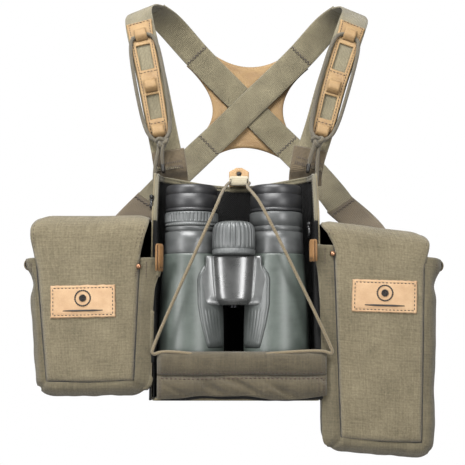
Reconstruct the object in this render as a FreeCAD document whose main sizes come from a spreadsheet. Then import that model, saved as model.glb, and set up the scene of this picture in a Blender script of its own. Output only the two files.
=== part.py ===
"""Binocular harness pack: chest cradle with a binocular in it, two side pouches and a shoulder harness.

Millimetres, +Z up, -Y away from the wearer's chest, +X to the left hand of the wearer.
The origin is on the rear face of the back panel, which lies on the chest.
"""

import FreeCAD, Part
import Sketcher
import math
import os
import re

Vector = FreeCAD.Vector
doc = FreeCAD.newDocument("binocular_harness_pack")

# ---------------------------------------------------------------- driving dimensions

DIMENSIONS = {
    # webbing and canvas
    "web_width": 25.4,
    "web_thick": 1.7,
    "elastic_width": 31.0,
    "elastic_thick": 2.2,
    "leather_thick": 1.9,
    "canvas": 1.8,
    "lining": 0.7,
    # cradle that holds the binocular
    "cradle_left": -65.0,
    "cradle_right": 66.0,
    "cradle_depth": 62.0,
    "cradle_base": -91.0,
    "back_thick": 6.0,
    "rim_high": 92.0,
    "rim_low": 83.0,
    "cuff_left": -60.5,
    "cuff_right": 71.0,
    "cuff_back": -64.0,
    "cuff_thick": 7.5,
    "cuff_top": -53.0,
    "cuff_base": -91.5,
    "cuff_hem": 3.0,
    # binocular
    "bino_mid": -1.0,
    "bino_axis": -34.0,
    "bino_half": 34.5,
    "barrel_radius": 26.5,
    "armour_radius": 22.6,
    "neck_radius": 21.4,
    "collar_radius": 18.5,
    "tube_radius": 17.5,
    "cup_radius": 21.0,
    "cup_inner": 15.0,
    "ring_radius": 21.8,
    "run_fit": 0.06,
    "bino_base": -88.0,
    "collar_base": 46.0,
    "collar_top": 58.0,
    "tube_top": 68.0,
    "cup_top": 80.0,
    "objective_bore": 22.0,
    "ocular_bore": 14.0,
    "lens_thick": 6.0,
    "wheel_radius": 16.4,
    "wheel_axis": -54.0,
    "wheel_base": 26.0,
    "wheel_top": 49.0,
    "axle_radius": 4.0,
    "bridge_base": -17.0,
    "bridge_top": 22.0,
    "bridge_half": 26.0,
    "bridge_front": -61.0,
    "bridge_back": -22.0,
    # pouches
    "pouch_wall": 2.6,
    "pouch_liner": 0.8,
    "pouch_back": -15.0,
    "pouch_depth": 51.0,
    "pouch_round": 14.0,
    "left_lid_rise": 33.0,
    "right_lid_rise": 18.0,
    "left_lid_round": 15.0,
    "right_lid_round": 12.0,
    "lid_thick": 2.8,
    "lid_inset": 2.5,
    "lid_gap": 0.6,
    "label_width": 51.0,
    "label_height": 25.5,
    # cords
    "retainer_thick": 2.6,
    "tether_thick": 3.2,
}

sheet = doc.addObject("Spreadsheet::Sheet", "dims")
for row, (alias, value) in enumerate(DIMENSIONS.items(), start=1):
    sheet.set("A%d" % row, alias)
    sheet.set("B%d" % row, str(value))
    sheet.setAlias("B%d" % row, alias)
doc.recompute()


def size(alias):
    """The value of a driving dimension."""
    return float(sheet.get(alias))


def cells(text):
    """An expression with each dimension's name pointed at its cell."""
    names = "|".join(sorted(DIMENSIONS, key=len, reverse=True))
    return re.sub(r"\b(%s)\b" % names, r"dims.\1", text)


def bind(part, **places):
    """Binds properties to expressions; base_x means Placement.Base.x."""
    for name, text in places.items():
        path = name.replace("base_", "Placement.Base.") if name.startswith("base_") else name
        part.setExpression(path, cells(str(text)))
    return part


# ---------------------------------------------------------------- building blocks

NODES = []


def node(part, label):
    """Marks a part as a node of its own, named by its label."""
    part.Label = label
    NODES.append(part)
    return part


def block(name, length, width, height, base_x, base_y, base_z):
    part = doc.addObject("Part::Box", name)
    return bind(part, Length=length, Width=width, Height=height,
                base_x=base_x, base_y=base_y, base_z=base_z)


def cylinder(name, radius, height, base_x, base_y, base_z, turn=None):
    part = doc.addObject("Part::Cylinder", name)
    if turn:
        part.Placement.Rotation = FreeCAD.Rotation(*turn)
    return bind(part, Radius=radius, Height=height, base_x=base_x, base_y=base_y, base_z=base_z)


def cut(name, base, tool):
    part = doc.addObject("Part::Cut", name)
    part.Base = base
    part.Tool = tool
    return part


def common(name, base, tool):
    part = doc.addObject("Part::Common", name)
    part.Base = base
    part.Tool = tool
    return part


def group(name, parts):
    part = doc.addObject("Part::Compound", name)
    part.Links = parts
    return part


def rounded(name, base, radius, keep):
    """Fillets the edges of a part for which keep(edge) is true."""
    doc.recompute()
    edges = [i + 1 for i, edge in enumerate(base.Shape.Edges) if keep(edge)]
    part = doc.addObject("Part::Fillet", name)
    part.Base = base
    part.Edges = [(i, radius, radius) for i in edges]
    return part


def along(axis):
    """A test for straight edges that run mostly along an axis."""
    def keep(edge):
        ends = edge.Vertexes
        if len(ends) < 2:
            return False
        step = ends[1].Point - ends[0].Point
        return step.Length > 0 and abs(step.dot(axis)) > 0.9 * step.Length
    return keep


def origin_plane(body, role):
    return next(part for part in body.Origin.OriginFeatures if part.Role == role)


def sketch_on(body, role, outline):
    """A closed sketch; an outline entry (p, mid, q) is an arc and (p, q) a line."""
    sketch = body.newObject("Sketcher::SketchObject", body.Name + "_sketch")
    sketch.AttachmentSupport = [(origin_plane(body, role), "")]
    sketch.MapMode = "FlatFace"
    for piece in outline:
        points = [Vector(x, y, 0) for x, y in piece]
        if len(points) == 2:
            sketch.addGeometry(Part.LineSegment(*points), False)
        else:
            sketch.addGeometry(Part.Arc(*points), False)
    for i in range(len(outline)):
        following = (i + 1) % len(outline)
        if len(outline[i]) == 2 and len(outline[following]) == 2:
            sketch.addConstraint(Sketcher.Constraint("Coincident", i, 2, following, 1))
    return sketch


def polygon(points):
    """The outline of straight lines through the points, without repeats."""
    points = [point for i, point in enumerate(points) if point != points[i - 1]]
    return [(points[i], points[(i + 1) % len(points)]) for i in range(len(points))]


def padded(name, role, outline, length, **places):
    """A PartDesign body: one sketch on an origin plane, padded."""
    body = doc.addObject("PartDesign::Body", name)
    sketch = sketch_on(body, role, outline)
    pad = body.newObject("PartDesign::Pad", name + "_pad")
    pad.Profile = sketch
    bind(pad, Length=length)
    bind(body, **places)
    return body


def turned(name, profile, **places):
    """A PartDesign body: an (r, z) profile turned about Z."""
    body = doc.addObject("PartDesign::Body", name)
    sketch = sketch_on(body, "XZ_Plane", polygon(profile))
    turn = body.newObject("PartDesign::Revolution", name + "_turn")
    turn.Profile = sketch
    turn.ReferenceAxis = (sketch, ["V_Axis"])
    turn.Angle = 360
    bind(body, **places)
    return body


def solid(label, shape):
    """A node whose shape is made with Part's own functions."""
    part = doc.addObject("Part::Feature", label)
    part.Shape = shape
    return node(part, label)


def ribbon(sections, width, thick):
    """A flat strap through (centre, width direction) sections."""
    wires = []
    for i, (centre, across) in enumerate(sections):
        before = Vector(*sections[max(i - 1, 0)][0])
        after = Vector(*sections[min(i + 1, len(sections) - 1)][0])
        tangent = (after - before).normalize()
        wide = Vector(*across)
        wide = (wide - tangent * wide.dot(tangent)).normalize()
        out = wide.cross(tangent).normalize()
        corners = [(-1, -1), (1, -1), (1, 1), (-1, 1), (-1, -1)]
        points = [Vector(*centre) + wide * (a * width / 2) + out * (b * thick / 2) for a, b in corners]
        wires.append(Part.makePolygon(points))
    return Part.makeLoft(wires, True, True)


ARC_SHARE = 0.45


def cord_path(points):
    """Straight runs joined by tangent arcs, each as large as its two runs allow."""
    points = [Vector(*point) for point in points]
    edges = []
    radii = []
    start = points[0]
    for i in range(1, len(points) - 1):
        before, here, after = points[i - 1], points[i], points[i + 1]
        back, ahead = (before - here), (after - here)
        half = (math.pi - back.getAngle(ahead)) / 2
        reach = ARC_SHARE * min(back.Length, ahead.Length)
        radii.append(round(reach / math.tan(half), 1))
        back, ahead = back.normalize(), ahead.normalize()
        first, last = here + back * reach, here + ahead * reach
        bisector = (back + ahead).normalize()
        middle = here + bisector * arc_offset(reach, half)
        edges.append(Part.LineSegment(start, first).toShape())
        edges.append(Part.Arc(first, middle, last).toShape())
        start = last
    edges.append(Part.LineSegment(start, points[-1]).toShape())
    return Part.Wire(edges), radii


def arc_offset(reach, half):
    """How far an arc's middle lies from the corner it rounds."""
    radius = reach / math.tan(half)
    return radius / math.cos(half) - radius


def cord(label, points, thick):
    """A round cord along a route; prints its bend radii and checks its volume."""
    path, radii = cord_path(points)
    start = path.Edges[0].Vertexes[0].Point
    direction = (path.Edges[0].Vertexes[1].Point - start).normalize()
    ring = Part.Wire(Part.makeCircle(thick / 2, start, direction))
    shape = path.makePipeShell([ring], True, False)
    expected = math.pi * (thick / 2) ** 2 * path.Length
    ratio = round(shape.Volume / expected, 3)
    print(label, "radii", radii, "length", round(path.Length, 1), "volume ratio", ratio)
    return solid(label, shape)


# ---------------------------------------------------------------- cradle

# The front edge of a side wall, from the rim down to the cuff, as (y, z).
WALL_FRONT = [(-29, 92), (-50, 56), (-62, -48)]
LINING_DROP = 2.5


def side_outline():
    """Outline of a cradle side wall in (y, z): low at the front, high at the back."""
    back = -size("back_thick")
    base, top = size("cradle_base"), size("rim_high")
    return [(back, base), (back, top - 1), *WALL_FRONT, (WALL_FRONT[-1][0], base)]


def cradle():
    left, right = size("cradle_left"), size("cradle_right")
    base, high, low = size("cradle_base"), size("rim_high"), size("rim_low")
    middle = (left + right) / 2
    top = ((right - 2, high), (middle, low), (left + 2, high))
    corners = [top[2], (left + 2, base), (right - 2, base), top[0]]
    outline = [*zip(corners, corners[1:]), top]
    node(padded("back_panel", "XZ_Plane", outline, "back_thick"), "back_panel")

    walls = {"left_cradle_wall": "cradle_left", "right_cradle_wall": "cradle_right - canvas"}
    for name, place in walls.items():
        node(padded(name, "YZ_Plane", polygon(side_outline()), "canvas", base_x=place), name)

    outer = block("liner_outer", "cradle_right - cradle_left - 2 * canvas", "cradle_depth - back_thick",
                  "rim_high - cradle_base", "cradle_left + canvas", "-cradle_depth", "cradle_base + canvas")
    inner = block("liner_inner", "cradle_right - cradle_left - 2 * canvas - 2 * lining", "cradle_depth",
                  "rim_high - cradle_base + 10", "cradle_left + canvas + lining",
                  "-cradle_depth - back_thick - lining", "cradle_base")
    lower = [(y, z - LINING_DROP) for y, z in side_outline()]
    lower[0] = (lower[0][0], size("cradle_base"))
    lower[1] = (lower[1][0], size("rim_low") - LINING_DROP + 0.5)
    lower[-1] = (lower[-1][0], size("cradle_base"))
    across = padded("liner_side", "YZ_Plane", polygon(lower), "cradle_right - cradle_left",
                    base_x="cradle_left")
    node(common("cradle_lining", cut("liner_shell", outer, inner), across), "cradle_lining")

    floor = block("floor_block", "cradle_right - cradle_left - 2 * canvas", "cradle_depth - back_thick",
                  "canvas", "cradle_left + canvas", "-cradle_depth", "cradle_base")
    node(floor, "cradle_floor")


def rim_binding():
    """Folded binding over the front edge of each side wall and on along its top."""
    fold, thick = 0.6, 1.4
    wide = size("canvas") + 2 * fold
    middles = {"left_rim_binding": size("cradle_left") - fold + wide / 2,
               "right_rim_binding": size("cradle_right") + fold - wide / 2}
    for name, x in middles.items():
        route = [(x, -62.9, -48), (x, -51.1, 56), (x, -29.6, 92.9), (x, -6, 92)]
        solid(name, ribbon([(point, (1, 0, 0)) for point in route], wide, thick))


def cuff():
    """Padded band across the front of the cradle's base, with its lining showing along the lower edge."""
    shell = block("cuff_block", "cuff_right - cuff_left", "cuff_thick", "cuff_top - cuff_base",
                  "cuff_left", "cuff_back - cuff_thick", "cuff_base")
    node(rounded("cuff_round", shell, 3.0, along(Vector(1, 0, 0))), "front_cuff")
    liner = block("cuff_liner", "cuff_right - cuff_left - 2 * cuff_hem", "lining", "cuff_top - cuff_base - 2",
                  "cuff_left + cuff_hem", "cuff_back", "cuff_base - 0.5")
    node(liner, "cuff_lining")


def retainer():
    """Elastic cord from the cuff's seam, round its corners and up to the leather pull tab."""
    front = -size("cuff_thick") / 2 + size("cuff_back")
    seam = size("cuff_top") + size("retainer_thick") / 2 + 0.2
    route = [
        (-35, front, seam), (-64.5, front, seam), (-67, front, seam + 3),
        (-14.2, -70.5, 55), (-7, -38, 74), (-3.2, -10.2, 87.5),
        (10.2, -10.2, 87.5), (9, -38, 76), (20.8, -70.5, 56),
        (78.5, front, seam + 3.2), (75.8, front, seam), (21, front, seam),
    ]
    cord("retainer_cord", route, size("retainer_thick"))
    peak = [(-4.8, 83.5), (11.8, 83.5), (11.8, 93), (3.5, 100), (-4.8, 93)]
    plate = padded("tab_plate", "XZ_Plane", polygon(peak), "leather_thick", base_y=-6.9)
    hole = cylinder("tab_hole", "2", "8", "3.5", "-4", "94", turn=(Vector(1, 0, 0), 90))
    node(cut("tab_cut", plate, hole), "pull_tab")
    band = block("tab_fold", "15.4", "2.6 + 2", "6.6", "-4.2", "-6.9 - leather_thick - 4.6", "84")
    node(rounded("tab_fold_round", band, 1.6, along(Vector(1, 0, 0))), "tab_band")


# ---------------------------------------------------------------- binocular

def on_axis(sign):
    """Where a part turned about a barrel's axis stands."""
    return {"base_x": "bino_mid + %d * bino_half" % sign, "base_y": "bino_axis"}


def barrel(side, sign):
    """A barrel casing turned about its optical axis, open at both ends."""
    base, collar = size("bino_base"), size("collar_base")
    top, tube_top = size("collar_top"), size("tube_top")
    wide, armour, neck = size("barrel_radius"), size("armour_radius"), size("neck_radius")
    band = size("collar_radius") if side == "left" else size("neck_radius")
    bore, eye = size("objective_bore"), size("ocular_bore")
    profile = [
        (bore, base), (wide - 0.6, base), (wide, base + 2), (wide, -45), (wide - 1.6, -8),
        (armour, 24), (neck, collar), (band, collar), (band, top), (size("tube_radius"), top),
        (size("tube_radius"), tube_top), (eye, tube_top), (eye, 20), (bore, -8),
    ]
    return node(turned(side + "_barrel_body", profile, **on_axis(sign)), side + "_barrel")


def eyecup(side, sign):
    inner, lip = size("tube_radius") + size("run_fit"), size("cup_inner")
    low, top, wide = size("collar_top") + 0.3, size("cup_top"), size("cup_radius")
    profile = [(inner, low), (wide, low), (wide, top - 2), (wide - 1.4, top), (lip + 2, top),
               (lip, top - 4), (lip, size("tube_top") + 0.6), (inner, size("tube_top") + 0.6)]
    node(turned(side + "_eyecup_body", profile, **on_axis(sign)), side + "_eyecup")


def optics():
    """Lenses and prisms, in groups of two."""
    lenses = {"objective_lenses": ("objective_bore", -80), "ocular_lenses": ("ocular_bore", 56)}
    for name, (radius, low) in lenses.items():
        discs = [cylinder("%s_%d" % (name, sign + 1), radius, "lens_thick",
                          "bino_mid + %d * bino_half" % sign, "bino_axis", low) for sign in (-1, 1)]
        node(group(name, discs), name)
    wide, high, low = 27, 32, -44
    blocks = [block("prism_%d" % (sign + 1), wide, wide, high,
                    "bino_mid + %d * bino_half - %s" % (sign, wide / 2),
                    "bino_axis - %s" % (wide / 2), low) for sign in (-1, 1)]
    node(group("prism_pair", blocks), "prisms")


# The lower corners of a thumb pad, as (distance from the middle, z).
PAD_SIDE = [(26, -32), (22, -52), (12, -48)]


def bridge(barrels):
    """The hinge casting between the barrels, its axle, the focus wheel and the thumb pads."""
    half, low, top = size("bridge_half"), size("bridge_base"), size("bridge_top")
    middle = size("bino_mid")
    front = [(middle - half, low + 10), (middle - half + 8, low), (middle + half - 8, low),
             (middle + half, low + 10), (middle + half - 5, top), (middle - half + 5, top)]
    plate = padded("bridge_plate", "XZ_Plane", polygon(front), "bridge_back - bridge_front",
                   base_y="bridge_back")
    barrel_space = group("barrel_space", [filled(part) for part in barrels])
    axle_space = cylinder("axle_space", "axle_radius", "80", "bino_mid", "wheel_axis + 14", "-40")
    shaft_space = cylinder("shaft_space", "3 + run_fit", "60", "bino_mid", "wheel_axis", "0")
    body = cut("bridge_clear", cut("bridge_axle_cut", plate, axle_space), barrel_space)
    node(cut("bridge_cut", body, shaft_space), "bridge")
    node(cylinder("hinge_axle_rod", "axle_radius", "bridge_top - bridge_base + 4", "bino_mid",
                  "wheel_axis + 14", "bridge_base - 2"), "hinge_axle")

    base, wheel_top, radius = size("wheel_base"), size("wheel_top"), size("wheel_radius")
    profile = [(0, 4), (3, 4), (3, base), (radius - 1, base), (radius, base + 1.5),
               (radius, wheel_top - 2), (radius - 2, wheel_top), (0, wheel_top)]
    node(turned("focus_wheel_body", profile, base_x="bino_mid", base_y="wheel_axis"), "focus_wheel")

    pads = []
    for sign in (-1, 1):
        shape = [(middle + sign * x, z) for x, z in [(8, low - 0.2), (21, low - 0.2), *PAD_SIDE]]
        outline = polygon(shape if sign > 0 else shape[::-1])
        pad = padded("pad_%d" % (sign + 1), "XZ_Plane", outline, "16", base_y="bridge_front + 14")
        space = group("pad_space_%d" % (sign + 1), [filled(part) for part in barrels])
        pads.append(cut("pad_cut_%d" % (sign + 1), pad, space))
    node(group("pad_pair", pads), "thumb_pads")


def filled(part):
    """A plain copy of a barrel's outside, to clear a space for it."""
    sign = -1 if part.Label.startswith("left") else 1
    wide, armour = size("barrel_radius"), size("armour_radius")
    profile = [(0, size("bino_base")), (wide, size("bino_base")), (wide, -45), (wide - 1.6, -8), (armour, 24),
               (size("neck_radius"), size("collar_base")), (0, size("collar_base"))]
    return turned(part.Name + "_space", profile, **on_axis(sign))


def dioptre_ring():
    inner, wide = size("collar_radius") + size("run_fit"), size("ring_radius")
    low, top = size("collar_base") + 0.3, size("collar_top") - 0.2
    profile = [(inner, low), (wide - 0.6, low), (wide, low + 0.8), (wide, top - 0.8),
               (wide - 0.6, top), (inner, top)]
    node(turned("dioptre_body", profile, **on_axis(-1)), "dioptre_ring")


def binocular():
    barrels = [barrel("left", -1), barrel("right", 1)]
    for side, sign in (("left", -1), ("right", 1)):
        eyecup(side, sign)
    dioptre_ring()
    optics()
    bridge(barrels)


# ---------------------------------------------------------------- pouches

# Corners of each pouch seen from the front: outer top, inner top, inner base, outer base.
POUCHES = {
    "left": {"corners": [(-163, 20), (-67, 20), (-68.5, -88), (-155, -89)],
             "label": (-118.5, -14.5), "rivet": (-75.5, 13)},
    "right": {"corners": [(161, 19), (68, 31), (69.5, -131), (155.5, -136.5)],
              "label": (116.5, -10.5), "rivet": (76.5, 23)},
}


def inset(corners, gap, rise):
    """The outline moved in by a gap at its sides and base, with its sides run on upwards."""
    middle = sum(x for x, z in corners) / 4
    moved = [(x + (gap if x < middle else -gap), z) for x, z in corners]
    for top, base in ((0, 3), (1, 2)):
        x, z = moved[top]
        lean = (x - moved[base][0]) / (z - moved[base][1])
        moved[top] = (x + lean * rise, z + rise)
        moved[base] = (moved[base][0] + lean * gap, moved[base][1] + gap)
    return moved


def tub(name, corners, back, depth, radius):
    """A tapered block with round upright edges and round lower edges, open work for a pouch."""
    body = padded(name, "XZ_Plane", polygon(corners), depth, base_y=back)
    doc.recompute()
    top = max(z for x, z in corners[:2]) - 20

    def keep(edge):
        return edge.CenterOfMass.z < top or along(Vector(0, 0, 1))(edge)

    return rounded(name + "_round", body, radius, keep)


def pouch(side):
    data = POUCHES[side]
    corners = data["corners"]
    radius, wall, liner = size("pouch_round"), size("pouch_wall"), size("pouch_liner")
    shell = tub(side + "_shell", corners, "pouch_back", "pouch_depth", radius)
    hollow = tub(side + "_hollow", inset(corners, wall, 20), "pouch_back - pouch_wall",
                 "pouch_depth - 2 * pouch_wall", radius - wall)
    node(cut(side + "_pouch_cut", shell, hollow), side + "_pouch")
    skin = tub(side + "_skin", inset(corners, wall, 0), "pouch_back - pouch_wall",
               "pouch_depth - 2 * pouch_wall", radius - wall)
    space = tub(side + "_space", inset(corners, wall + liner, 20), "pouch_back - pouch_wall - pouch_liner",
                "pouch_depth - 2 * pouch_wall - 2 * pouch_liner", radius - wall - liner)
    node(cut(side + "_liner_cut", skin, space), side + "_pouch_lining")


def pouch_lid(side):
    """The hood that carries the front panel on over the top; it hinges along the pouch's front edge."""
    corners = POUCHES[side]["corners"]
    outer, inner = Vector(corners[0][0], 0, corners[0][1]), Vector(corners[1][0], 0, corners[1][1])
    low, high = (outer, inner) if outer.x < inner.x else (inner, outer)
    run = (high - low)
    slant = math.degrees(math.atan2(run.z, run.x))
    wide = run.Length - 2 * size("lid_inset")
    deep, rise = size("pouch_depth"), size(side + "_lid_rise")
    bend, thick = size(side + "_lid_round"), size("lid_thick")
    corner = bend * (1 - math.sqrt(0.5))
    tight = bend - thick
    inside = thick + tight * (1 - math.sqrt(0.5))
    far = -deep
    outline = [
        ((0, 0), (0, rise - bend)),
        ((0, rise - bend), (-corner, rise - corner), (-bend, rise)),
        ((-bend, rise), (far + bend, rise)),
        ((far + bend, rise), (far + corner, rise - corner), (far, rise - bend)),
        ((far, rise - bend), (far, 0)),
        ((far, 0), (far + thick, 0)),
        ((far + thick, 0), (far + thick, rise - bend)),
        ((far + thick, rise - bend), (far + inside, rise - inside), (far + bend, rise - thick)),
        ((far + bend, rise - thick), (-bend, rise - thick)),
        ((-bend, rise - thick), (-inside, rise - inside), (-thick, rise - bend)),
        ((-thick, rise - bend), (-thick, 0)),
        ((-thick, 0), (0, 0)),
    ]
    body = doc.addObject("PartDesign::Body", side + "_lid_body")
    sketch = sketch_on(body, "YZ_Plane", outline)
    pad = body.newObject("PartDesign::Pad", side + "_lid_pad")
    pad.Profile = sketch
    pad.Length = wide
    step = run.normalize()
    start = low + step * size("lid_inset") + Vector(-step.z, 0, step.x) * size("lid_gap")
    body.Placement = FreeCAD.Placement(Vector(start.x, size("pouch_back"), start.z),
                                       FreeCAD.Rotation(Vector(0, 1, 0), -slant))
    node(body, side + "_lid")


def label(side):
    """Plain leather label in the middle of the front."""
    x, z = POUCHES[side]["label"]
    front = "pouch_back - pouch_depth - leather_thick"
    plate = block(side + "_label_block", "label_width", "leather_thick", "label_height",
                  "%s - label_width / 2" % x, front, "%s - label_height / 2" % z)
    node(rounded(side + "_label_round", plate, 2.0, along(Vector(0, 1, 0))), side + "_label")


def gusset_tab(side):
    """Leather tab folded over the top of the inner side wall."""
    inner_x, top = POUCHES[side]["corners"][1]
    skin, play = 1.2, 0.25
    wide, high, rise = 11.0, 15.0, 2.6
    reach = size("pouch_wall") + size("pouch_liner")
    slot_x = inner_x - play if side == "right" else inner_x - reach - play
    low = top + rise - high
    gap = reach + 2 * play
    fold = block(side + "_tab_outer", gap + 2 * skin, wide, high, slot_x - skin, -51, low)
    slot = block(side + "_tab_slot", gap, wide + 2, high - skin, slot_x, -52, low - skin)
    node(cut(side + "_gusset_tab_cut", fold, slot), side + "_gusset_tab")


def corner_loop(side):
    """Small elastic loop sewn to the outer top corner."""
    outer_x, top = POUCHES[side]["corners"][0]
    deep, wide, high = 3.6, 9.0, 8.0
    x = outer_x if side == "right" else outer_x - deep
    loop = block(side + "_ear_outer", deep, wide, high, x, -54, top - 9)
    hole = block(side + "_ear_hole", deep - 2, wide + 2, high - 3, x + 1, -55, top - 7.5)
    node(cut(side + "_ear_cut", loop, hole), side + "_corner_loop")


def rivet(side):
    """Small domed rivet at the top of the front panel's inner edge."""
    x, z = POUCHES[side]["rivet"]
    radius, high, seat, dome = 2.3, 2.4, -63.1, 0.8
    stud = cylinder(side + "_rivet_stud", radius, high, x, seat, z, turn=(Vector(1, 0, 0), 90))
    front = seat - high + dome
    head = rounded(side + "_rivet_round", stud, dome, lambda edge: edge.CenterOfMass.y < front)
    node(head, side + "_rivet")


# Height of the lower edge of each piece of webbing that carries a pouch.
MOUNT_LEVELS = [14, -52]
# Each hook's lowest corner and width: on the cradle's lining at the right, round its wall at the left.
HOOKS = {"left": ((-69.2, -47, 60), 3.6), "right": ((56.1, -58, 37), 5.6)}


def mounting(side):
    """The webbing that carries a pouch beside the cradle, and the hook on the cradle's front edge."""
    length = 88.0
    edge = size("cradle_right") if side == "right" else size("cradle_left") - length
    straps = [block("%s_mount_%d" % (side, number), length, "web_thick", "web_width",
                    edge, "pouch_back + 0.05", level) for number, level in enumerate(MOUNT_LEVELS)]
    node(group(side + "_mounts", straps), side + "_mount_webbing")

    (x, y, z), wide = HOOKS[side]
    deep, high, lip = 8.0, 12.0, 2.5
    outer = block(side + "_hook_outer", wide, deep, high, x, y, z)
    gap = block(side + "_hook_gap", wide + 3, deep - 4.4, high - 2 * lip, x - 1, y + 2.2, z + lip)
    node(cut(side + "_hook_cut", outer, gap), side + "_cradle_hook")


# ---------------------------------------------------------------- harness

# Each strap: the centre of every section, and the direction of its width there.
LEFT_SHOULDER = [
    ((-55.5, -7.2, 98), (1, 0, 0.18)), ((-57.5, -7.0, 110), (1, 0, 0.2)),
    ((-63, -5.0, 137), (1, 0, 0.2)), ((-71, -0.5, 176), (1, 0, 0.2)),
    ((-79.5, 6.5, 212), (1, 0, 0.22)), ((-84, 15, 232), (1, -0.1, 0.25)),
    ((-85, 24, 243.5), (1, -0.3, 0.28)), ((-81, 36, 250.5), (0.9, -0.5, 0.2)),
    ((-73, 46, 251.5), (0.85, -0.5, 0.2)),
]
UNDER_CROSS = [
    ((-73, 46, 251.5), (0.85, -0.5, 0.2)), ((-58, 58, 240), (0.8, -0.2, 0.5)),
    ((-36, 67.5, 217), (0.72, 0, 0.7)), ((-12, 70.9, 192.5), (0.72, 0, 0.7)),
    ((12.5, 71.6, 168), (0.72, 0, 0.7)), ((34, 71.0, 146), (0.72, 0, 0.7)),
    ((50, 67.5, 129.5), (0.72, 0, 0.7)), ((68, 58, 109), (0.74, 0, 0.66)),
    ((85, 42, 86), (0.78, 0.1, 0.6)), ((94, 30, 71), (0.8, 0.1, 0.55)),
]
RIGHT_SHOULDER = [
    ((61.5, -7.2, 100), (1, 0, -0.22)), ((65, -7.0, 112), (1, 0, -0.26)),
    ((73, -5.0, 137), (1, 0, -0.3)), ((84, -0.5, 175), (1, 0, -0.32)),
    ((97, 6.5, 212), (1, 0, -0.34)), ((103.5, 15, 230), (1, 0.1, -0.34)),
    ((107, 24, 241), (1, 0.3, -0.3)), ((105, 36, 248.5), (0.9, 0.5, -0.2)),
    ((98, 46, 250), (0.85, 0.5, -0.2)),
]
OVER_CROSS = [
    ((98, 46, 250), (0.85, 0.5, -0.2)), ((83, 57, 238), (0.8, 0.2, -0.5)),
    ((62, 65.5, 216), (0.72, 0, -0.7)), ((38, 69.0, 192.5), (0.72, 0, -0.7)),
    ((12.5, 69.7, 168), (0.72, 0, -0.7)), ((-9, 69.1, 146.5), (0.72, 0, -0.7)),
    ((-26, 66, 130), (0.72, 0, -0.7)), ((-44, 57, 111), (0.74, 0, -0.66)),
    ((-63, 42, 90), (0.78, -0.1, -0.6)), ((-76, 30, 74), (0.8, -0.1, -0.55)),
]
SIDE_ELASTICS = {
    "left": [((-76.6, 29.4, 73.3), (0.8, -0.1, -0.55)), ((-90, 12, 56), (0.82, -0.1, -0.5)),
             ((-99, -4, 42), (0.9, -0.1, -0.35)), ((-103, -11.5, 28), (1, 0, -0.1))],
    "right": [((94.6, 29.4, 70.3), (0.8, 0.1, 0.55)), ((108, 12, 55), (0.82, 0.1, 0.5)),
              ((116, -4, 42), (0.9, 0.1, 0.35)), ((119, -11.5, 28), (1, 0, 0.1))],
}
BASE_ELASTICS = {
    "left": [((-51.5, -3.0, 82), (1, 0, 0.05)), ((-52, -3.2, 95), (1, 0, 0.05)),
             ((-53.5, -4.4, 108), (1, 0, 0.12))],
    "right": [((55, -3.0, 82), (1, 0, -0.05)), ((56, -3.2, 96), (1, 0, -0.08)),
              ((59, -4.4, 111), (1, 0, -0.14))],
}


def back_patch():
    """Leather cross with arms under both straps and hollowed sides between them."""
    arms = [((-45, 208), (-26.5, 224)), ((53, 221.5), (69, 205)),
            ((57.5, 136), (41, 121.5)), ((-16.5, 124), (-33, 141))]
    hollows = [(13.5, 207), (45.5, 171), (11, 130.5), (-21, 171)]
    outline = []
    for i, (first, last) in enumerate(arms):
        outline.append((first, last))
        outline.append((last, hollows[i], arms[(i + 1) % 4][0]))
    node(padded("patch", "XZ_Plane", outline, "leather_thick", base_y=75), "back_patch")


def on_strap(sections, share, across, out):
    """A point on a shoulder strap: share of its length, offset across it and out from its face."""
    spot = share * (len(sections) - 1)
    i = min(int(spot), len(sections) - 2)
    part = spot - i
    (here, wide_here), (there, wide_there) = sections[i], sections[i + 1]
    centre = Vector(*here) * (1 - part) + Vector(*there) * part
    wide = (Vector(*wide_here) * (1 - part) + Vector(*wide_there) * part)
    tangent = (Vector(*there) - Vector(*here)).normalize()
    wide = (wide - tangent * wide.dot(tangent)).normalize()
    front = tangent.cross(wide)
    if front.y > 0:
        front = front * -1
    return centre + wide * across + front * out, wide, front


LADDER_SHARES = [0.205, 0.25, 0.31, 0.375, 0.44, 0.5, 0.56, 0.616]
RUNG_SHARES = [0.228, 0.36, 0.526]
LADDER_TOP_WIDTH = 23.0
LADDER_BASE_WIDTH = 17.0
LADDER_DRIFT = 3.2


def ladder_offset(share, sign):
    """How far the ladder's middle lies out from the strap's middle: it drifts outwards going down."""
    down = (LADDER_SHARES[-1] - share) / (LADDER_SHARES[-1] - LADDER_SHARES[0])
    return sign * LADDER_DRIFT * down


def ladder(side, sections, sign):
    """Tapered leather strip on the shoulder strap with three arched loops down its middle."""
    lift = size("web_thick") / 2 + size("leather_thick") / 2 + 0.05
    rows = []
    for share in LADDER_SHARES:
        rise = (share - LADDER_SHARES[0]) / (LADDER_SHARES[-1] - LADDER_SHARES[0])
        half = (LADDER_BASE_WIDTH + (LADDER_TOP_WIDTH - LADDER_BASE_WIDTH) * rise) / 2
        point, wide, front = on_strap(sections, share, ladder_offset(share, sign), lift)
        thick = front * (size("leather_thick") / 2)
        corners = [point + wide * a + thick * b for a, b in ((-half, -1), (half, -1), (half, 1), (-half, 1))]
        rows.append(Part.makePolygon(corners + [corners[0]]))
    solid(side + "_ladder_strip", Part.makeLoft(rows, True, True))
    top = lift + size("leather_thick") / 2 + 0.05
    rungs = [rung(sections, share, ladder_offset(share, sign), top) for share in RUNG_SHARES]
    solid(side + "_ladder_loops", Part.makeCompound(rungs))


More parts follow.
